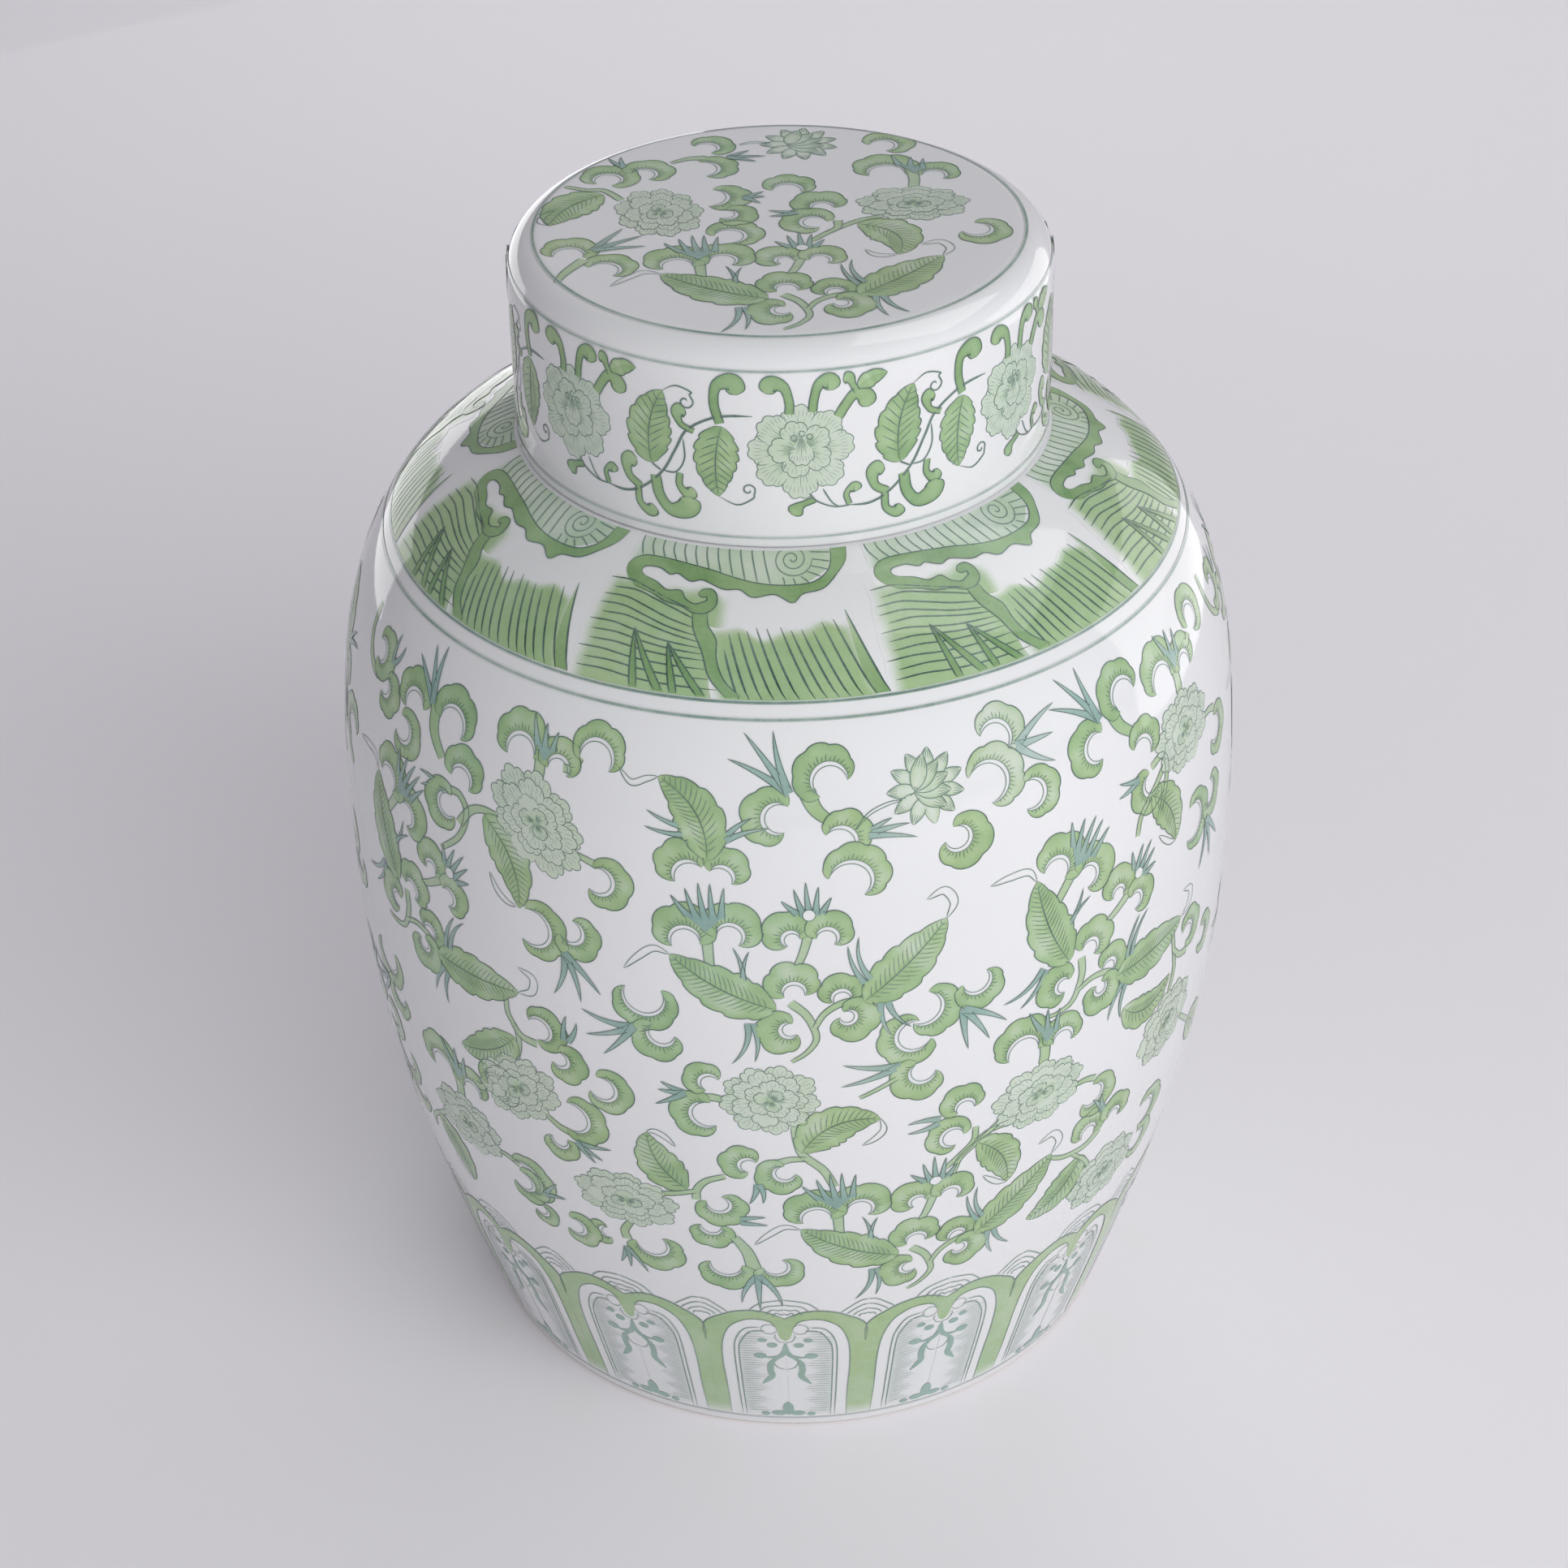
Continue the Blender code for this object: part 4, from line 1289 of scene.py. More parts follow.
# %% [markdown]
# ## The shoulder band
# Eight repeats ring the shoulder. Each has a tuft of slanting grass, a striped
# water panel with two blades in front of it, a bent reed, and over them a cloud
# ribbon that hems a fan of shell flutes with a spiral at its heart. The washes run
# a little past the lines, as wet colour does.

# %% One repeat of the shoulder band, x in degrees
SHOULDER_REPEATS = 8
SHOULDER_MIDDLE = 297
BAND_FOOT = 275.6


def striped(points, width=0.42, strength=0.7, taper=0.15):
    """A shorter way to write a smooth line through points."""
    return line(smooth_path(points, 6 * len(points)), width, strength, taper)


def soft_patch(left, right, low, high, strength, fade=0.2, layer=WASH - 0.4, lean=0.0, climb=0.0):
    """A wash with feathered sides and top: strength times a smooth step in from each edge."""
    u, v = np.meshgrid(np.linspace(0, 1, 28), np.linspace(0, 1, 20))
    ragged = 0.05 * np.sin(9 * v) + 0.04 * np.sin(23 * v + 1)
    x = left + (right - left) * u + lean * v + ragged * (1 - u) * 3
    top = high + climb * u**4 + 1.2 * np.sin(u * 11) + 0.8 * np.sin(u * 23 + 2)
    y = low + (top - low) * v
    side = np.clip(u / fade, 0, 1) * np.clip((1 - u) / fade, 0, 1)
    tone = strength * (side * (3 - 2 * side) * side) * np.clip((1 - v) / 0.12, 0, 1) ** 0.7
    return mark("leaf", np.stack([x, y], -1), tone, layer)


def grass():
    """Slanting blades: each foot on the band's edge, each top further left, the tallest at the right."""
    marks = [soft_patch(-10.4, 13.0, BAND_FOOT, 294.6, 0.54, 0.10, WASH + 0.2, lean=-2.6, climb=4.0)]
    feet = np.array([-6.6, -5.2, -3.5, -1.9, -0.3, 1.5, 3.6, 5.2, 6.8, 8.3, 10.0, 11.9, 13.8])
    lean = np.array([2.6, 3.6, 3.9, 4.2, 4.4, 4.6, 4.6, 4.6, 4.6, 4.4, 4.6, 4.7, 4.5])
    tops = np.array([289, 293.5, 294, 294.6, 295.6, 295.4, 295.8, 294.8, 295, 294.4, 296.8, 297.4, 299.8])
    t = np.linspace(0, 1, 10)
    x = feet[:, None] - lean[:, None] * (0.72 * t + 0.28 * t**0.6)
    y = 276.4 + (tops - 276.4)[:, None] * t
    marks.append(line(np.stack([x, y], -1), 0.60, 0.92 - 0.25 * t[:, None], 0.25))
    u = np.linspace(0, 1, 3)[:, None]
    right = np.stack([x[-1] - 2.2 * (1 - u) * (1 - t**1.5), y[-1] + 0 * u], -1)
    marks.append(mark("leaf", right, 0.74 - 0.5 * t**2, WASH + 0.8))
    return marks


def water():
    """Stripes that sag towards the reed, over a feathered wash, behind two split blades."""
    marks = [soft_patch(-31.5, -8.8, BAND_FOOT, 306, 0.49, 0.12)]
    heights = np.arange(278, 306)
    reed_x = np.interp(heights, [276.5, 281, 288, 294, 299, 306], [-8.6, -11, -12.5, -14.2, -15, -17.5])
    for k, height in enumerate(np.arange(279, 305, 2.55)):
        drop = 0.6 + 4.4 * np.clip((height - 286) / 12, 0, 1)
        start = -30.2 + 0.8 * math.sin(2.3 * k)
        stop = float(np.interp(height - drop, heights, reed_x))
        marks.append(striped([(start, height), (start + 4, height + 0.5),
                              (start + 8, height + 0.1 - drop * 0.25), (start + 12, height - drop * 0.65),
                              (stop, height - drop)], 0.48, 0.8))
    for tip_x, tip_y, spread in ((-23.3, 292.0, 1.0), (-17.7, 289.6, 1.05)):
        for foot, wide in ((2.0, 2.6), (5.6, 3.2)):
            t = np.linspace(0, 1, 12)[:, None]
            path = np.array([tip_x, tip_y]) + t * np.array([foot * spread, 276.6 - tip_y])
            half = wide / 4 * t**0.7 * (1 - 0.25 * t**4)
            left, right = path - half * (1, 0), path + half * (1, 0)
            marks += [wash(left, right, "leaf", 0.92 - 0.16 * t[:, 0], 3, LINE + 0.4),
                      line(left, 0.38, 0.85, 0.1, layer=LINE + 1),
                      line(right, 0.38, 0.8, 0.1, layer=LINE + 1)]
    left = smooth_path([(-15, 298.8), (-14.3, 294), (-12.4, 288), (-10.9, 281.5), (-8.4, 276.6)], 24)
    right = smooth_path([(-12.6, 298.8), (-12.2, 295.6), (-10.6, 291.6), (-10.2, 286.5), (-8.8, 281),
                         (-6.4, 277)], 24)
    marks += [wash(left, right, "leaf", 0.74, 4, LINE + 0.3), line(left, 0.38, 0.8, layer=LINE + 1),
              line(right, 0.38, 0.8, layer=LINE + 1)]
    return marks


def cloud_ribbon():
    """The hemming ribbon: an upper strand, a lower strand that ends in a curl, and a bumpy slot between."""
    top = smooth_path([(-26, 303.6), (-28.2, 306), (-29.2, 309), (-28.4, 312), (-26, 313.6), (-21, 313.6),
                       (-14, 312.2), (-10, 310.6), (-5, 308.8), (0, 308.2), (4.4, 308.8), (7, 311.2),
                       (8.4, 314.6), (9.0, 320.6)], 90)
    slot = smooth_path([(-25.2, 307.2), (-26, 308), (-26.2, 309.2), (-25.4, 310.2), (-23, 310.4),
                        (-20.8, 309), (-19.4, 309.6), (-16.8, 307.8), (-14.6, 308.6), (-10.8, 306.4),
                        (-8, 306.6), (-5.6, 304.4), (-2, 305.4), (1.0, 302.8), (2.8, 305.4), (6.4, 306.8),
                        (9.4, 311.4), (11.4, 315.4), (12.2, 320.6)], 90)
    low = smooth_path([(-26, 303.6), (-22.6, 302.4), (-20, 300.8), (-17, 300), (-15, 298.6), (-13, 298.8),
                       (-11.6, 301), (-11.6, 304), (-12.6, 306), (-14.2, 305.8), (-14.9, 304.4)], 60)
    shelf = smooth_path([(-25.2, 307.2), (-22.6, 306), (-20.4, 304.2), (-18, 304.6), (-16.8, 302.4),
                         (-15.2, 301.2), (-14, 301.8), (-13.2, 302.6), (-13.4, 303.6), (-14.2, 303.4),
                         (-14.9, 304.4)], 60)
    tone = 0.72 + 0.06 * np.sin(np.linspace(0, 19, 90))
    marks = [wash(slot, top, "leaf", tone, 5, LINE + 0.2), wash(shelf, low, "leaf", 0.74, 4, LINE + 0.2)]
    return marks + [line(edge, 0.38, 0.8, layer=LINE + 1) for edge in (top[14:], slot, low, shelf)]


def shell():
    """Flutes above the ribbon, lighter in the middle of each, round a spiral of two and a half turns."""
    u, v = np.meshgrid(np.linspace(0, 1, 30), np.linspace(0, 1, 6))
    under = np.interp(-29.5 + 40 * u, [-29.5, -26, -20, -10, -5, 0, 4, 8, 10.5],
                      [311, 313, 313, 310.4, 308.8, 308.2, 308.8, 313, 318])
    grid = np.stack([-29.8 + 40 * u, under + (320.8 - under) * v], -1)
    tone = 0.44 - 0.14 * np.sin(np.pi * v) * (0.5 + 0.5 * np.sin(5.1 * u)) + 0.05 * np.sin(17 * u)
    tone = tone * np.clip(u / 0.04, 0, 1)
    marks = [mark("petal", grid, tone, WASH)]
    for k in range(12):
        x = -29.3 + 2.25 * k
        foot = float(np.interp(x + 2.2, [-29.5, -26, -20, -10, -5, 0],
                               [312.4, 313.6, 313.6, 310.6, 308.8, 308.2]))
        marks.append(striped([(x, 320.6), (x + 0.4, 317), (x + 1.8, foot)], 0.5, 0.62))
    turn = np.linspace(0.6, 5.2 * np.pi, 60)
    spiral = np.stack([1.2 + 0.235 * turn * np.cos(turn + 2.5),
                       316.6 + 0.46 * turn * 0.8 * np.sin(turn + 2.5)], 1)
    marks.append(line(spiral, 0.40, 0.6, 0.06))
    for first, last in (((-0.6, 310.8), (-0.3, 308.4)), ((1.2, 310.4), (1.6, 308.4)),
                        ((2.6, 310.9), (4.0, 308.8)), ((3.8, 312.4), (6.2, 310.6)),
                        ((4.6, 314.2), (7.8, 312.6)), ((4.9, 316.4), (8.4, 315.2)),
                        ((4.6, 318.8), (8.8, 318.2))):
        marks.append(striped([first, ((first[0] + last[0]) / 2 + 0.1, (first[1] + last[1]) / 2), last],
                             0.42, 0.6))
    return marks


for k in range(SHOULDER_REPEATS):
    for part in (grass, water, shell, cloud_ribbon):
        around = math.radians(360 / SHOULDER_REPEATS * k)
        lay("jar_shoulder_band", in_degrees(part(), SHOULDER_MIDDLE), on_wall, around)
print("shoulder marks:", sum(len(part()) for part in (grass, water, shell, cloud_ribbon)))

# %% [markdown]
# Plain rings, drawn on the turning wheel, close each zone off.

# %% Rings on the jar and the lid
def ring_line(name, surface, at, width, strength):
    """A closed ring: azimuth all the way round, a few points across its width, with soft edges."""
    azimuth = np.linspace(0, 2 * np.pi, 361)
    across = np.array([-1, -0.55, 0, 0.55, 1])[:, None]
    grid = np.stack([azimuth + 0 * across, at + across * width / 2 + 0 * azimuth], -1)
    unsteady = 1 + 0.15 * np.sin(7 * azimuth) * np.sin(3 * azimuth)
    tone = strength * np.array([0.0, 0.8, 1.0, 0.8, 0.0])[:, None] * unsteady
    lay(name, [mark("ink", grid, tone, LINE)], surface)


ring_line("jar_rings", on_wall, 271.2, 1.2, 0.44)
ring_line("jar_rings", on_wall, BAND_FOOT, 1.1, 0.55)
ring_line("jar_rings", on_wall, 4.6, 0.9, 0.22)

# %% [markdown]
# ## The lid
# Round the lid's side runs a vine with peonies, drawn in a plainer hand than the
# field: round-ended bean sprouts, two veined leaves to each flower, and tendrils
# that end in spirals. It repeats seven times.

# %% The vine's own shapes
LID_REPEATS = 7
VINE_AT = 3.5
VINE_HEIGHT = 321.0


def sprout(points, first=1.7, last=4.6, strength=0.66):
    """A round-ended hook: half-width grows from first/2 to last/2, then closes like a circle."""
    path = smooth_path(points, 30)
    t = np.linspace(0, 1, 30)
    length = np.linalg.norm(np.diff(path, axis=0), axis=1).sum()
    cap = min(0.45, last / 2 / length)
    grow = np.clip((t - 0.35) / 0.5, 0, 1)
    half = (first + (last - first) * grow * grow * (3 - 2 * grow)) / 2
    half = half * np.sqrt(np.clip(1 - (np.clip(t - 1 + cap, 0, 1) / cap) ** 2, 0, 1))
    side = sideways(path) * half[:, None]
    left, right = path + side, path - side
    across = np.abs(np.linspace(-1, 1, 5))[:, None]
    return [wash(left, right, "leaf", strength - 0.14 * grow + 0.14 * across**3, 5, WASH + 0.3),
            line(left, 0.34, 0.8, 0.08), line(right, 0.34, 0.8, 0.08)]


def veined_leaf(base, tip, width, bend):
    """The field's leaf with a forked vein along it in place of the comb, and stronger colour."""
    marks = leaf(base, tip, width, bend, 6, 0.08)[:4]
    rib = bent(base, tip, bend, 40)
    t = np.linspace(0, 1, 40)
    side = sideways(rib)
    at = np.linspace(0.14, 0.86, 8)
    foot = np.stack([np.interp(at, t, rib[:, 0]), np.interp(at, t, rib[:, 1])], -1)
    normal = np.stack([np.interp(at, t, side[:, 0]), np.interp(at, t, side[:, 1])], -1)
    forward = np.stack([normal[:, 1], -normal[:, 0]], -1)
    reach = (width / 2 * np.sin(np.pi * at**0.82) ** 0.72 * 0.78)[:, None, None]
    spread = np.linspace(0, 1, 5)[:, None]
    for way in (1, -1):
        lean = way * normal[:, None] * spread + forward[:, None] * (0.75 * spread)
        marks.append(line(foot[:, None] + reach * lean, 0.28, 0.74, 0.5))
    return marks


def vine_line(points, width=0.62):
    """A plain teal stalk."""
    return line(smooth_path(points, 7 * len(points)), width, 0.72, 0.12)


def spiral_tendril(points, centre, radius, turns, start):
    """A stalk that runs into a spiral: radius shrinks evenly as the angle turns."""
    t = np.linspace(0, 1, 22)
    angle = math.radians(start) + 2 * math.pi * turns * t
    coil = polar(centre, radius * (1 - 0.78 * t), angle)
    return line(smooth_path(list(points) + coil[::3].tolist(), 60), 0.50, 0.7, 0.15)


def lid_peony():
    """A front-facing peony: eight broad outer petals, five within, a cup and three small rings."""
    marks = [disc(11.4, 0.5, WASH - 0.2)]
    headings = (95, 48, 5, -45, -92, -140, 178, 138)
    for k, heading in enumerate(headings):
        angle = math.radians(heading)
        root = (2.8 * math.cos(angle), 2.4 * math.sin(angle))
        reach = 11.2 if heading != -92 else 11.8
        marks += petal(root, angle, reach, 0.62, WASH + 0.45 * (k % 2), 4, 0.36)
    for k in range(5):
        angle = math.radians(90 + 72 * k + 20)
        root = (1.0 * math.cos(angle), 0.9 * math.sin(angle) + 0.5)
        marks += petal(root, angle, 7.6, 0.78, WASH + 1.1 + 0.45 * (k % 2), 3, 0.38)
    marks += petal((0, 4.4), -math.pi / 2, 8.8, 0.58, WASH + 2.2, 4, 0.34)
    for x, y in ((-1.9, 3.8), (0.2, 5.0), (2.2, 4.0)):
        marks.append(line(polar((x, y), 0.8, np.linspace(0, 2 * np.pi, 12)),
                          0.3, 0.6, 0.05, layer=LINE + 1.2))
    return marks


def vine():
    """One repeat, in millimetres from the middle of its peony, x to the right."""
    marks = lid_peony()
    marks += sprout([(-3.0, 10.6), (-2.9, 14), (-4.2, 18.2), (-7.4, 19.4), (-8.8, 16.6)], 2.2, 4.8, 0.72)
    marks += sprout([(3.0, 11), (3.4, 14.6), (4.6, 18.4), (7.4, 19.6), (8.2, 16.8)], 2.2, 4.8, 0.70)
    marks += sprout([(9.6, 9), (11.4, 12), (14, 15), (16.8, 14), (17.6, 10.8)], 2.6, 4.8)
    marks += sprout([(14.6, 15.6), (13.6, 17.6), (12.6, 19.6), (11, 20)], 1.6, 3.8)
    marks += leaf((15, 16.6), (22.8, 19.6), 4.6, 0.10, 2, 0.06)[:3]
    marks += veined_leaf((26.4, -7), (30.2, 14.8), 12.5, 0.10)
    marks.append(spiral_tendril([(30.2, 14.8), (34, 16.8), (38.2, 15.6)], (36.6, 12.6), 2.4, -1.1, 60))
    marks.append(vine_line([(12, -17), (18, -17.2), (23.6, -14.6), (29.6, -8.6), (33.4, -1.6), (36.6, 4.4),
                            (42.6, 8.4), (48, 9.8), (54, 10)], 0.8))
    marks.append(vine_line([(29.6, -8.6), (33.4, -8.2), (35.8, -4), (35.6, 1.8)], 0.5))
    marks.append(vine_line([(26.4, -7), (29.0, -8.6)], 0.6))
    marks += sprout([(34.4, -8.4), (34.2, -12), (36.4, -14.2), (38.4, -12.8)], 1.8, 3.6)
    marks += veined_leaf((46, 6.6), (44.8, -13.8), 11.5, -0.06)
    marks.append(spiral_tendril([(44.8, -13.8), (49.6, -15.9), (53.6, -14)], (52.6, -11.4), 2.0, 1.15, -40))
    marks += sprout([(45.6, 7.4), (44.2, 13), (45, 18.2), (49, 19.6), (50.4, 16)], 2.4, 5.2, 0.72)
    marks += sprout([(38.6, 4.4), (35.2, 6), (34.2, 9.2), (36.4, 10.6)], 1.6, 4.2)
    marks += sprout([(27.4, -10.4), (28.4, -16), (31.6, -19.6), (36.2, -18.4), (37, -15)], 3.0, 6.2)
    marks += sprout([(22.8, -14.8), (19.4, -12.4), (18.8, -8.4), (21.8, -6.8)], 2.2, 4.6)
    marks += sprout([(22.0, -15), (22.4, -19.6), (25.2, -21.4), (27, -20)], 1.9, 3.8)
    marks += sprout([(12.4, -16.8), (11.6, -13.6), (13.6, -11.8), (14.4, -13.2)], 1.4, 3.4)
    marks += sprout([(3.4, -14.4), (-0.4, -16), (-2.6, -18.6)], 1.7, 4.4, 0.72)
    marks.append(vine_line([(1.8, -12.4), (4, -15), (8.4, -17), (13, -17)], 0.5))
    marks.append(vine_line([(5.4, -11.4), (7.6, -15.4), (9.6, -17.2)], 0.45))
    return marks


for k in range(LID_REPEATS):
    around = math.radians(VINE_AT + 360 / LID_REPEATS * k)
    lay("lid_side", vine(), on_lid_side, around, VINE_HEIGHT, scale=1 / LID_RADIUS, hide=True)
print("vine marks:", len(vine()))

# %% [markdown]
# The lid's top has the twin-leaf spray at the front with the field's other sprays
# set round the circle, all inside one ring.

# %% The painted top
def crested_scroll():
    """Five hooks back to back down a curving spine, with two sets of small thorns on its right."""
    marks = lobe(-20.5, 50.4, 3.4, -60, 150, 4.8, 2.4, 3)
    marks += lobe(-22, 36.4, 5.0, 92, -65, 5.2, 2.6, 4)
    marks += lobe(-20, 17.6, 5.6, 70, -80, 6.2, 2.6, 5)
    marks += stem([(-30, 41), (-25, 43.6), (-20, 44)], 1.2, 3.0)
    marks += lobe(-14.6, 6.6, 2.6, 85, -120, 5.6, 2.6, 3)
    for base, tips in (((-14, 44), ((-8, 48.4), (-3.4, 44.4), (-6, 40.8))),
                       ((-9.6, 17), ((-4, 20.6), (-3.6, 17.4), (-5, 13.2)))):
        for tip in tips:
            marks += thorn(base, tip, 2.6, 0.03)
    return marks


def middle_scroll():
    """A drooping hook over two stacked ones, thorned on the left, on the stem from the crest."""
    marks = lobe(2.2, 21.2, 4.0, 175, -18, 5.6, 2.2, 4) + lobe(11.8, 9.8, 2.9, 215, -5, 6.6, 3.0, 4)
    marks += lobe(9.6, 0.4, 3.2, 10, 290, 5.8, 2.4, 4)
    marks += stem([(8.6, -11), (13, -6), (17, -2.4), (22, 1.4), (27.6, 3.4)], 1.8, 1.8)
    marks += stem([(13, -6.2), (15.6, -3), (15.8, 1.6)], 1.6, 2.4)
    for tip in ((-3, 8.4), (-2.8, 4.6)):
        marks += thorn((5, 6.6), tip, 2.6, 0.03)
    return marks


def left_top_group():
    """The left crest lobes on their stem with a hanging leaf."""
    marks = lobe(-47.2, 30.2, 3.6, -70, 215, 5.6, 2.4, 4) + lobe(-37.6, 33.4, 3.4, 165, -60, 5.4, 3.0, 4)
    marks += stem([(-59, 26.6), (-53, 24), (-48, 23.4), (-43, 17)], 1.4, 2.2)
    marks += leaf((-48, 20.6), (-62, 1.4), 14, -0.12, 5)
    marks += curl([(-62, 1.4), (-64.4, 4), (-63.6, 8), (-61, 11.6)], 2.0)
    for tip in ((-47.6, 45), (-44, 45.6)):
        marks += thorn((-43, 38.4), tip, 2.4, 0.04)
    marks += peony(-32.4, 8.4, 24, 32, 0.1)
    return marks + lobe(-13.6, -7.4, 4.0, 172, -75, 5.4, 2.2, 4)


def left_edge_group():
    """A pair of lobes on one stem with three long thorns between them."""
    marks = lobe(-56, -17.2, 4.0, -20, 190, 5.6, 2.6, 4) + lobe(-46.6, -26.8, 4.2, 150, -50, 5.0, 2.6, 4)
    marks += stem([(-58.4, -32.6), (-56, -27), (-51.6, -20)], 1.8, 3.4)
    for tip in ((-42, -1.4), (-36.4, -6), (-35.4, -12.6)):
        marks += thorn((-49.6, -14.6), tip, 3.0, 0.02)
    return marks


def far_top_group():
    """A lotus with a stalk to its left and a hook on its right, a crested pair and the right lobe."""
    marks = lotus(6, 52.6, 11) + curl([(-11, 52.6), (-7, 54), (-2, 53.4)], 1.2)
    marks += lobe(29.2, 50.2, 3.6, 165, -72, 5.6, 2.2, 4)
    marks += lobe(30, 31.4, 5.0, -8, 195, 6.4, 3.2, 5) + lobe(42.8, 29.4, 3.2, 172, -40, 4.8, 2.6, 3)
    marks += stem([(37, 22), (37.4, 27), (37, 33)], 2.8, 3.2)
    marks += crown((33, 37.6), (40.6, 34.4), (37.6, 31), [(31.6, 43.6), (37, 42), (40.4, 40.8)])
    marks += leaf((21, -1), (31.4, -20.4), 14, 0.26, 5)
    marks += curl([(31, -20.4), (27.6, -21), (24.8, -20), (22.6, -17)], 2.0)
    marks += lobe(52.6, -5.6, 3.8, 92, -160, 5.2, 2.2, 4)
    return marks + peony(36.6, 11.4, 31, 23, 0.1)


lay("lid_top", twin_leaf_spray(), on_lid_top, 1.6, -37.0, hide=True)
for group in (crested_scroll, middle_scroll, left_top_group, left_edge_group, far_top_group):
    lay("lid_top", group(), on_lid_top, hide=True)


def on_lid_round(azimuth, radius, lift):
    """The lid's top by azimuth and radius, for rings: the flat part, and the edge's rounding round it."""
    turn = FRONT + azimuth
    return on_lid_top(radius * np.cos(turn), radius * np.sin(turn), lift)


ring_line("lid_rings", on_lid_round, 66.4, 1.1, 0.50)
ring_line("lid_rings", on_lid_round, 73.4, 0.34, 0.40)
ring_line("lid_rings", on_lid_side, LID_FOOT + 3.2, 1.0, 0.34)

# %% [markdown]
# ## Paint becomes mesh
# All marks of one kind and zone are joined in one mesh. Each grid gives its own
# quads by index arithmetic. A quad whose winding faces the pot is turned over, and
# every corner gets the pot's own normal, so the paint shines exactly as the glaze
# under it does.

# %% Join the marks
SPECK = 1e-4


def grid_faces(rows, columns, count, first):
    """Quads of count grids of rows by columns points, numbered from first."""
    k, i, j = np.meshgrid(np.arange(count), np.arange(rows - 1), np.arange(columns - 1), indexing="ij")
    corner = first + (k * rows + i) * columns + j
    return np.stack([corner, corner + 1, corner + columns + 1, corner + columns], -1).reshape(-1, 4)


def outward(faces, points, normals):
    """Quads wound so that the cross product of their diagonals agrees with the surface normal; a quad
    of almost no area is left out."""
    corners = points[faces]
    cross = np.cross(corners[:, 2] - corners[:, 0], corners[:, 3] - corners[:, 1])
    flipped = (cross * normals[faces].mean(axis=1)).sum(axis=1) < 0
    area = np.linalg.norm(cross, axis=1)
    return np.where(flipped[:, None], faces[:, ::-1], faces)[area > SPECK]


def paint_piece(name, kind, parts):
    """One mesh from its marks, with the paint's map and the pot's normals."""
    faces, total = [], 0
    for place, _, _, shown in parts:
        count, rows, columns = place.shape[:3]
        corners = grid_faces(rows, columns, count, 0)
        faces.append(total + corners[shown.ravel()[corners].any(axis=1)])
        total += count * rows * columns
    points, normals, chart = (np.concatenate([part[n].reshape(-1, part[n].shape[-1]) for part in parts])
                              for n in range(3))
    faces = outward(np.concatenate(faces), points, normals)
    used, faces = np.unique(faces, return_inverse=True)
    points, normals, chart, faces = points[used], normals[used], chart[used], faces.reshape(-1, 4)
    body = name.split("_")[0]
    piece = new_mesh(name, points, faces, PAINTS[kind], body, body + "_glaze")
    corner = faces.ravel()
    layer = piece.data.uv_layers.new(name="OFBake")
    layer.uv.foreach_set("vector", chart[corner].astype(np.float32).ravel())
    piece.data.normals_split_custom_set(normals[corner].astype(np.float32))
    return piece


triangles = 0
for name in sorted(painted):
    piece = paint_piece(name, *painted[name])
    triangles += 2 * len(piece.data.polygons)
    print(f"{name}: {2 * len(piece.data.polygons)} triangles")
print("paint triangles:", triangles)

# %% [markdown]
# ## Floor, light and camera
# A seamless pale sheet curves up behind the jar. A big soft light stands high at
# the right front, and a weak one brightens the sheet. White cards that only the
# glaze sees, at the left, the right and above, give it its pale reflections. The
# room is a dim lilac grey.

# %% The sheet it stands on
def seamless_sheet():
    """A floor that rises at the back: straight, a quarter circle, straight, the same at every x."""
    run = np.linspace(-4, 1.6, 30)
    bend = arc((1.6, 1.4), 1.4, -90, 0, 20)
    outline = np.vstack([np.stack([run, 0 * run], 1), bend[1:], [[3.0, 5.0]]])
    x = np.linspace(-5, 5, 12)
    grid = np.stack([x[None, :] + 0 * outline[:, :1], outline[:, :1] + 0 * x, outline[:, 1:] + 0 * x], -1)
    mesh = bpy.data.meshes.new("paper_sheet")
    mesh.from_pydata(grid.reshape(-1, 3), [], grid_faces(len(outline), len(x), 1, 0))
    mesh.polygons.foreach_set("use_smooth", np.ones(len(mesh.polygons), bool))
    paper = bpy.data.materials.new("paper_sheet")
    paper.use_nodes = True
    tree = paper.node_tree
    shader = tree.nodes["Principled BSDF"]
    shader.inputs["Roughness"].default_value = 0.9
    shader.inputs["Specular IOR Level"].default_value = 0.15
    place = add(tree, "ShaderNodeTexCoord")
    tooth = add(tree, "ShaderNodeTexNoise", Scale=3.0, Detail=2.0)
    tint = add(tree, "ShaderNodeValToRGB")
    tint.color_ramp.elements[0].color = (0.92, 0.90, 0.93, 1)
    tint.color_ramp.elements[1].color = (0.94, 0.92, 0.95, 1)
    tree.links.new(place.outputs["Object"], tooth.inputs["Vector"])
    tree.links.new(tooth.outputs["Fac"], tint.inputs["Fac"])
    tree.links.new(tint.outputs["Color"], shader.inputs["Base Color"])
    mesh.materials.append(paper)
    sheet = bpy.data.objects.new("paper_sheet", mesh)
    bpy.context.scene.collection.objects.link(sheet)


seamless_sheet()


# %% Soft lights
def panel_light(name, at, towards, size, power):
    """A rectangular light that faces a point."""
    data = bpy.data.lights.new(name, "AREA")
    data.shape = "RECTANGLE"
    data.size, data.size_y = size
    data.energy = power
    light = bpy.data.objects.new(name, data)
    bpy.context.scene.collection.objects.link(light)
    away = np.array(at, float) - towards
    light.location = at
    light.rotation_euler = Vector(away).to_track_quat("Z", "Y").to_euler()
    light.visible_camera = False
    return light


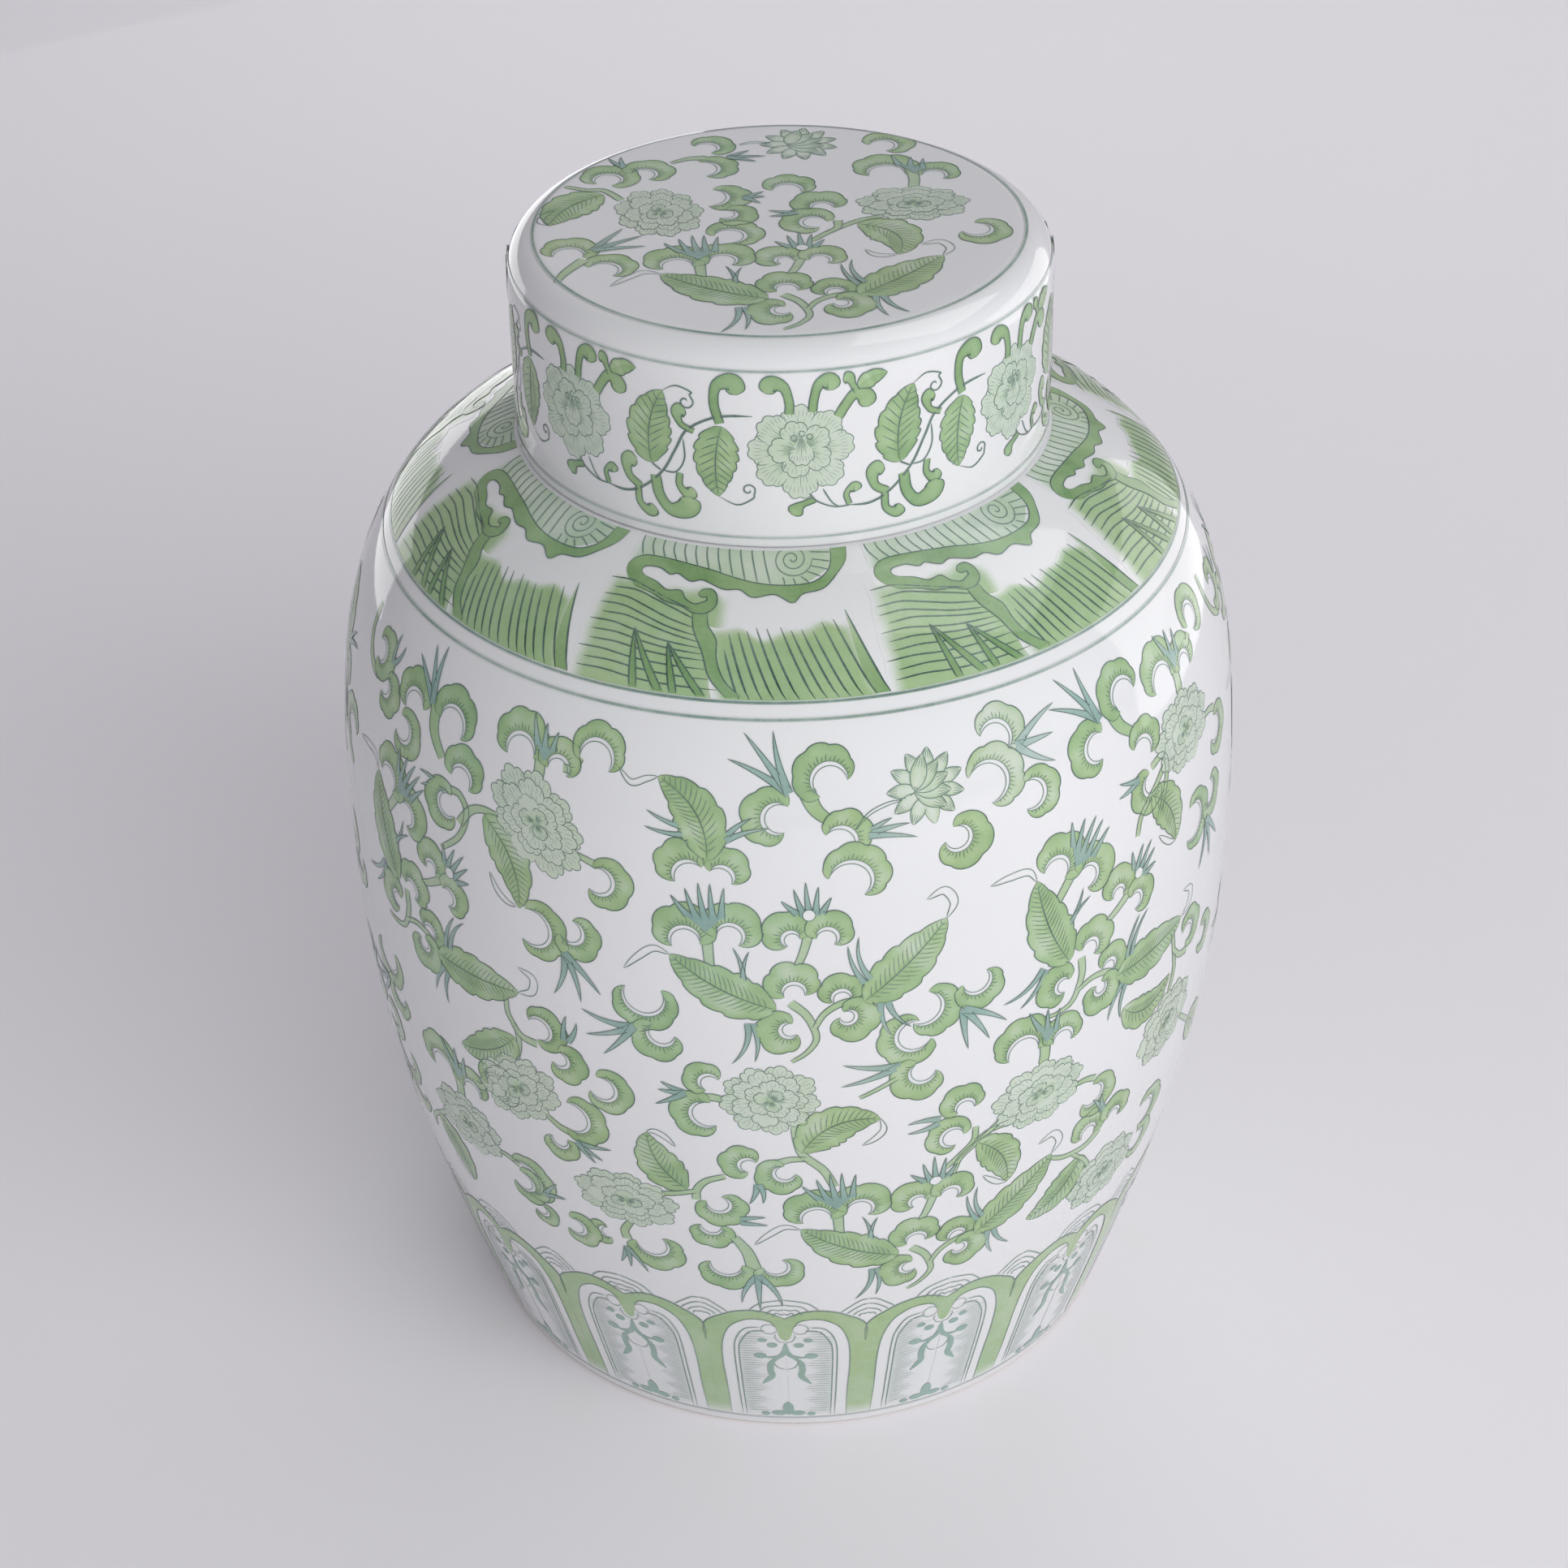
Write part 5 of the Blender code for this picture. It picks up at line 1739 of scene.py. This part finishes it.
key = panel_light("front_softbox", (0.80, -1.35, 1.10), (0, 0, 0.15), (1.7, 1.3), 20)
key.visible_glossy = False
back = panel_light("floor_light", (0.3, 1.5, 1.3), (0.1, 0.9, 0), (1.4, 0.6), 2.2)
back.data.spread = math.radians(100)
back.visible_glossy = False
for name, at, size, power in (("left_card", (-0.55, 0.95, 0.16), (1.1, 0.55), 3.0),
                              ("right_card", (0.75, 0.35, 0.30), (0.8, 0.6), 2.2),
                              ("top_card", (0.75, 0.15, 1.5), (1.0, 0.9), 5.0)):
    card = panel_light(name, at, (0, 0, 0.22), size, power)
    card.visible_diffuse = False
world = bpy.data.worlds.new("studio_room")
world.use_nodes = True
room = world.node_tree
sky = add(room, "ShaderNodeTexCoord")
split = add(room, "ShaderNodeSeparateXYZ")
fade = add(room, "ShaderNodeValToRGB")
fade.color_ramp.elements[0].position = 0.05
fade.color_ramp.elements[0].color = (0.62, 0.61, 0.645, 1)
fade.color_ramp.elements[1].position = 0.85
fade.color_ramp.elements[1].color = (0.26, 0.26, 0.275, 1)
across = add(room, "ShaderNodeMapRange")
across.inputs["From Min"].default_value = -1.0
across.inputs["To Min"].default_value = 0.70
across.inputs["To Max"].default_value = 1.22
room.links.new(sky.outputs["Generated"], split.inputs[0])
room.links.new(split.outputs["Z"], fade.inputs["Fac"])
room.links.new(split.outputs["X"], across.inputs["Value"])
room.links.new(fade.outputs["Color"], room.nodes["Background"].inputs["Color"])
room.links.new(across.outputs["Result"], room.nodes["Background"].inputs["Strength"])
bpy.context.scene.world = world
bpy.context.scene.view_settings.view_transform = "Standard"

# %% The camera
LOOK_DOWN = math.radians(34.17)
REACH = 1.0214
LOOK_AT = 0.1679
CAMERA_LEAN = math.radians(-1.093)
camera_data = bpy.data.cameras.new("camera")
camera_data.sensor_width = 36
camera_data.lens = 78.46
camera_data.shift_x = -0.0039
camera = bpy.data.objects.new("camera", camera_data)
bpy.context.scene.collection.objects.link(camera)
camera.location = (0, -REACH * math.cos(LOOK_DOWN), LOOK_AT + REACH * math.sin(LOOK_DOWN))
camera.rotation_mode = "ZYX"
camera.rotation_euler = (math.pi / 2 - LOOK_DOWN, 0, CAMERA_LEAN)
bpy.context.scene.camera = camera
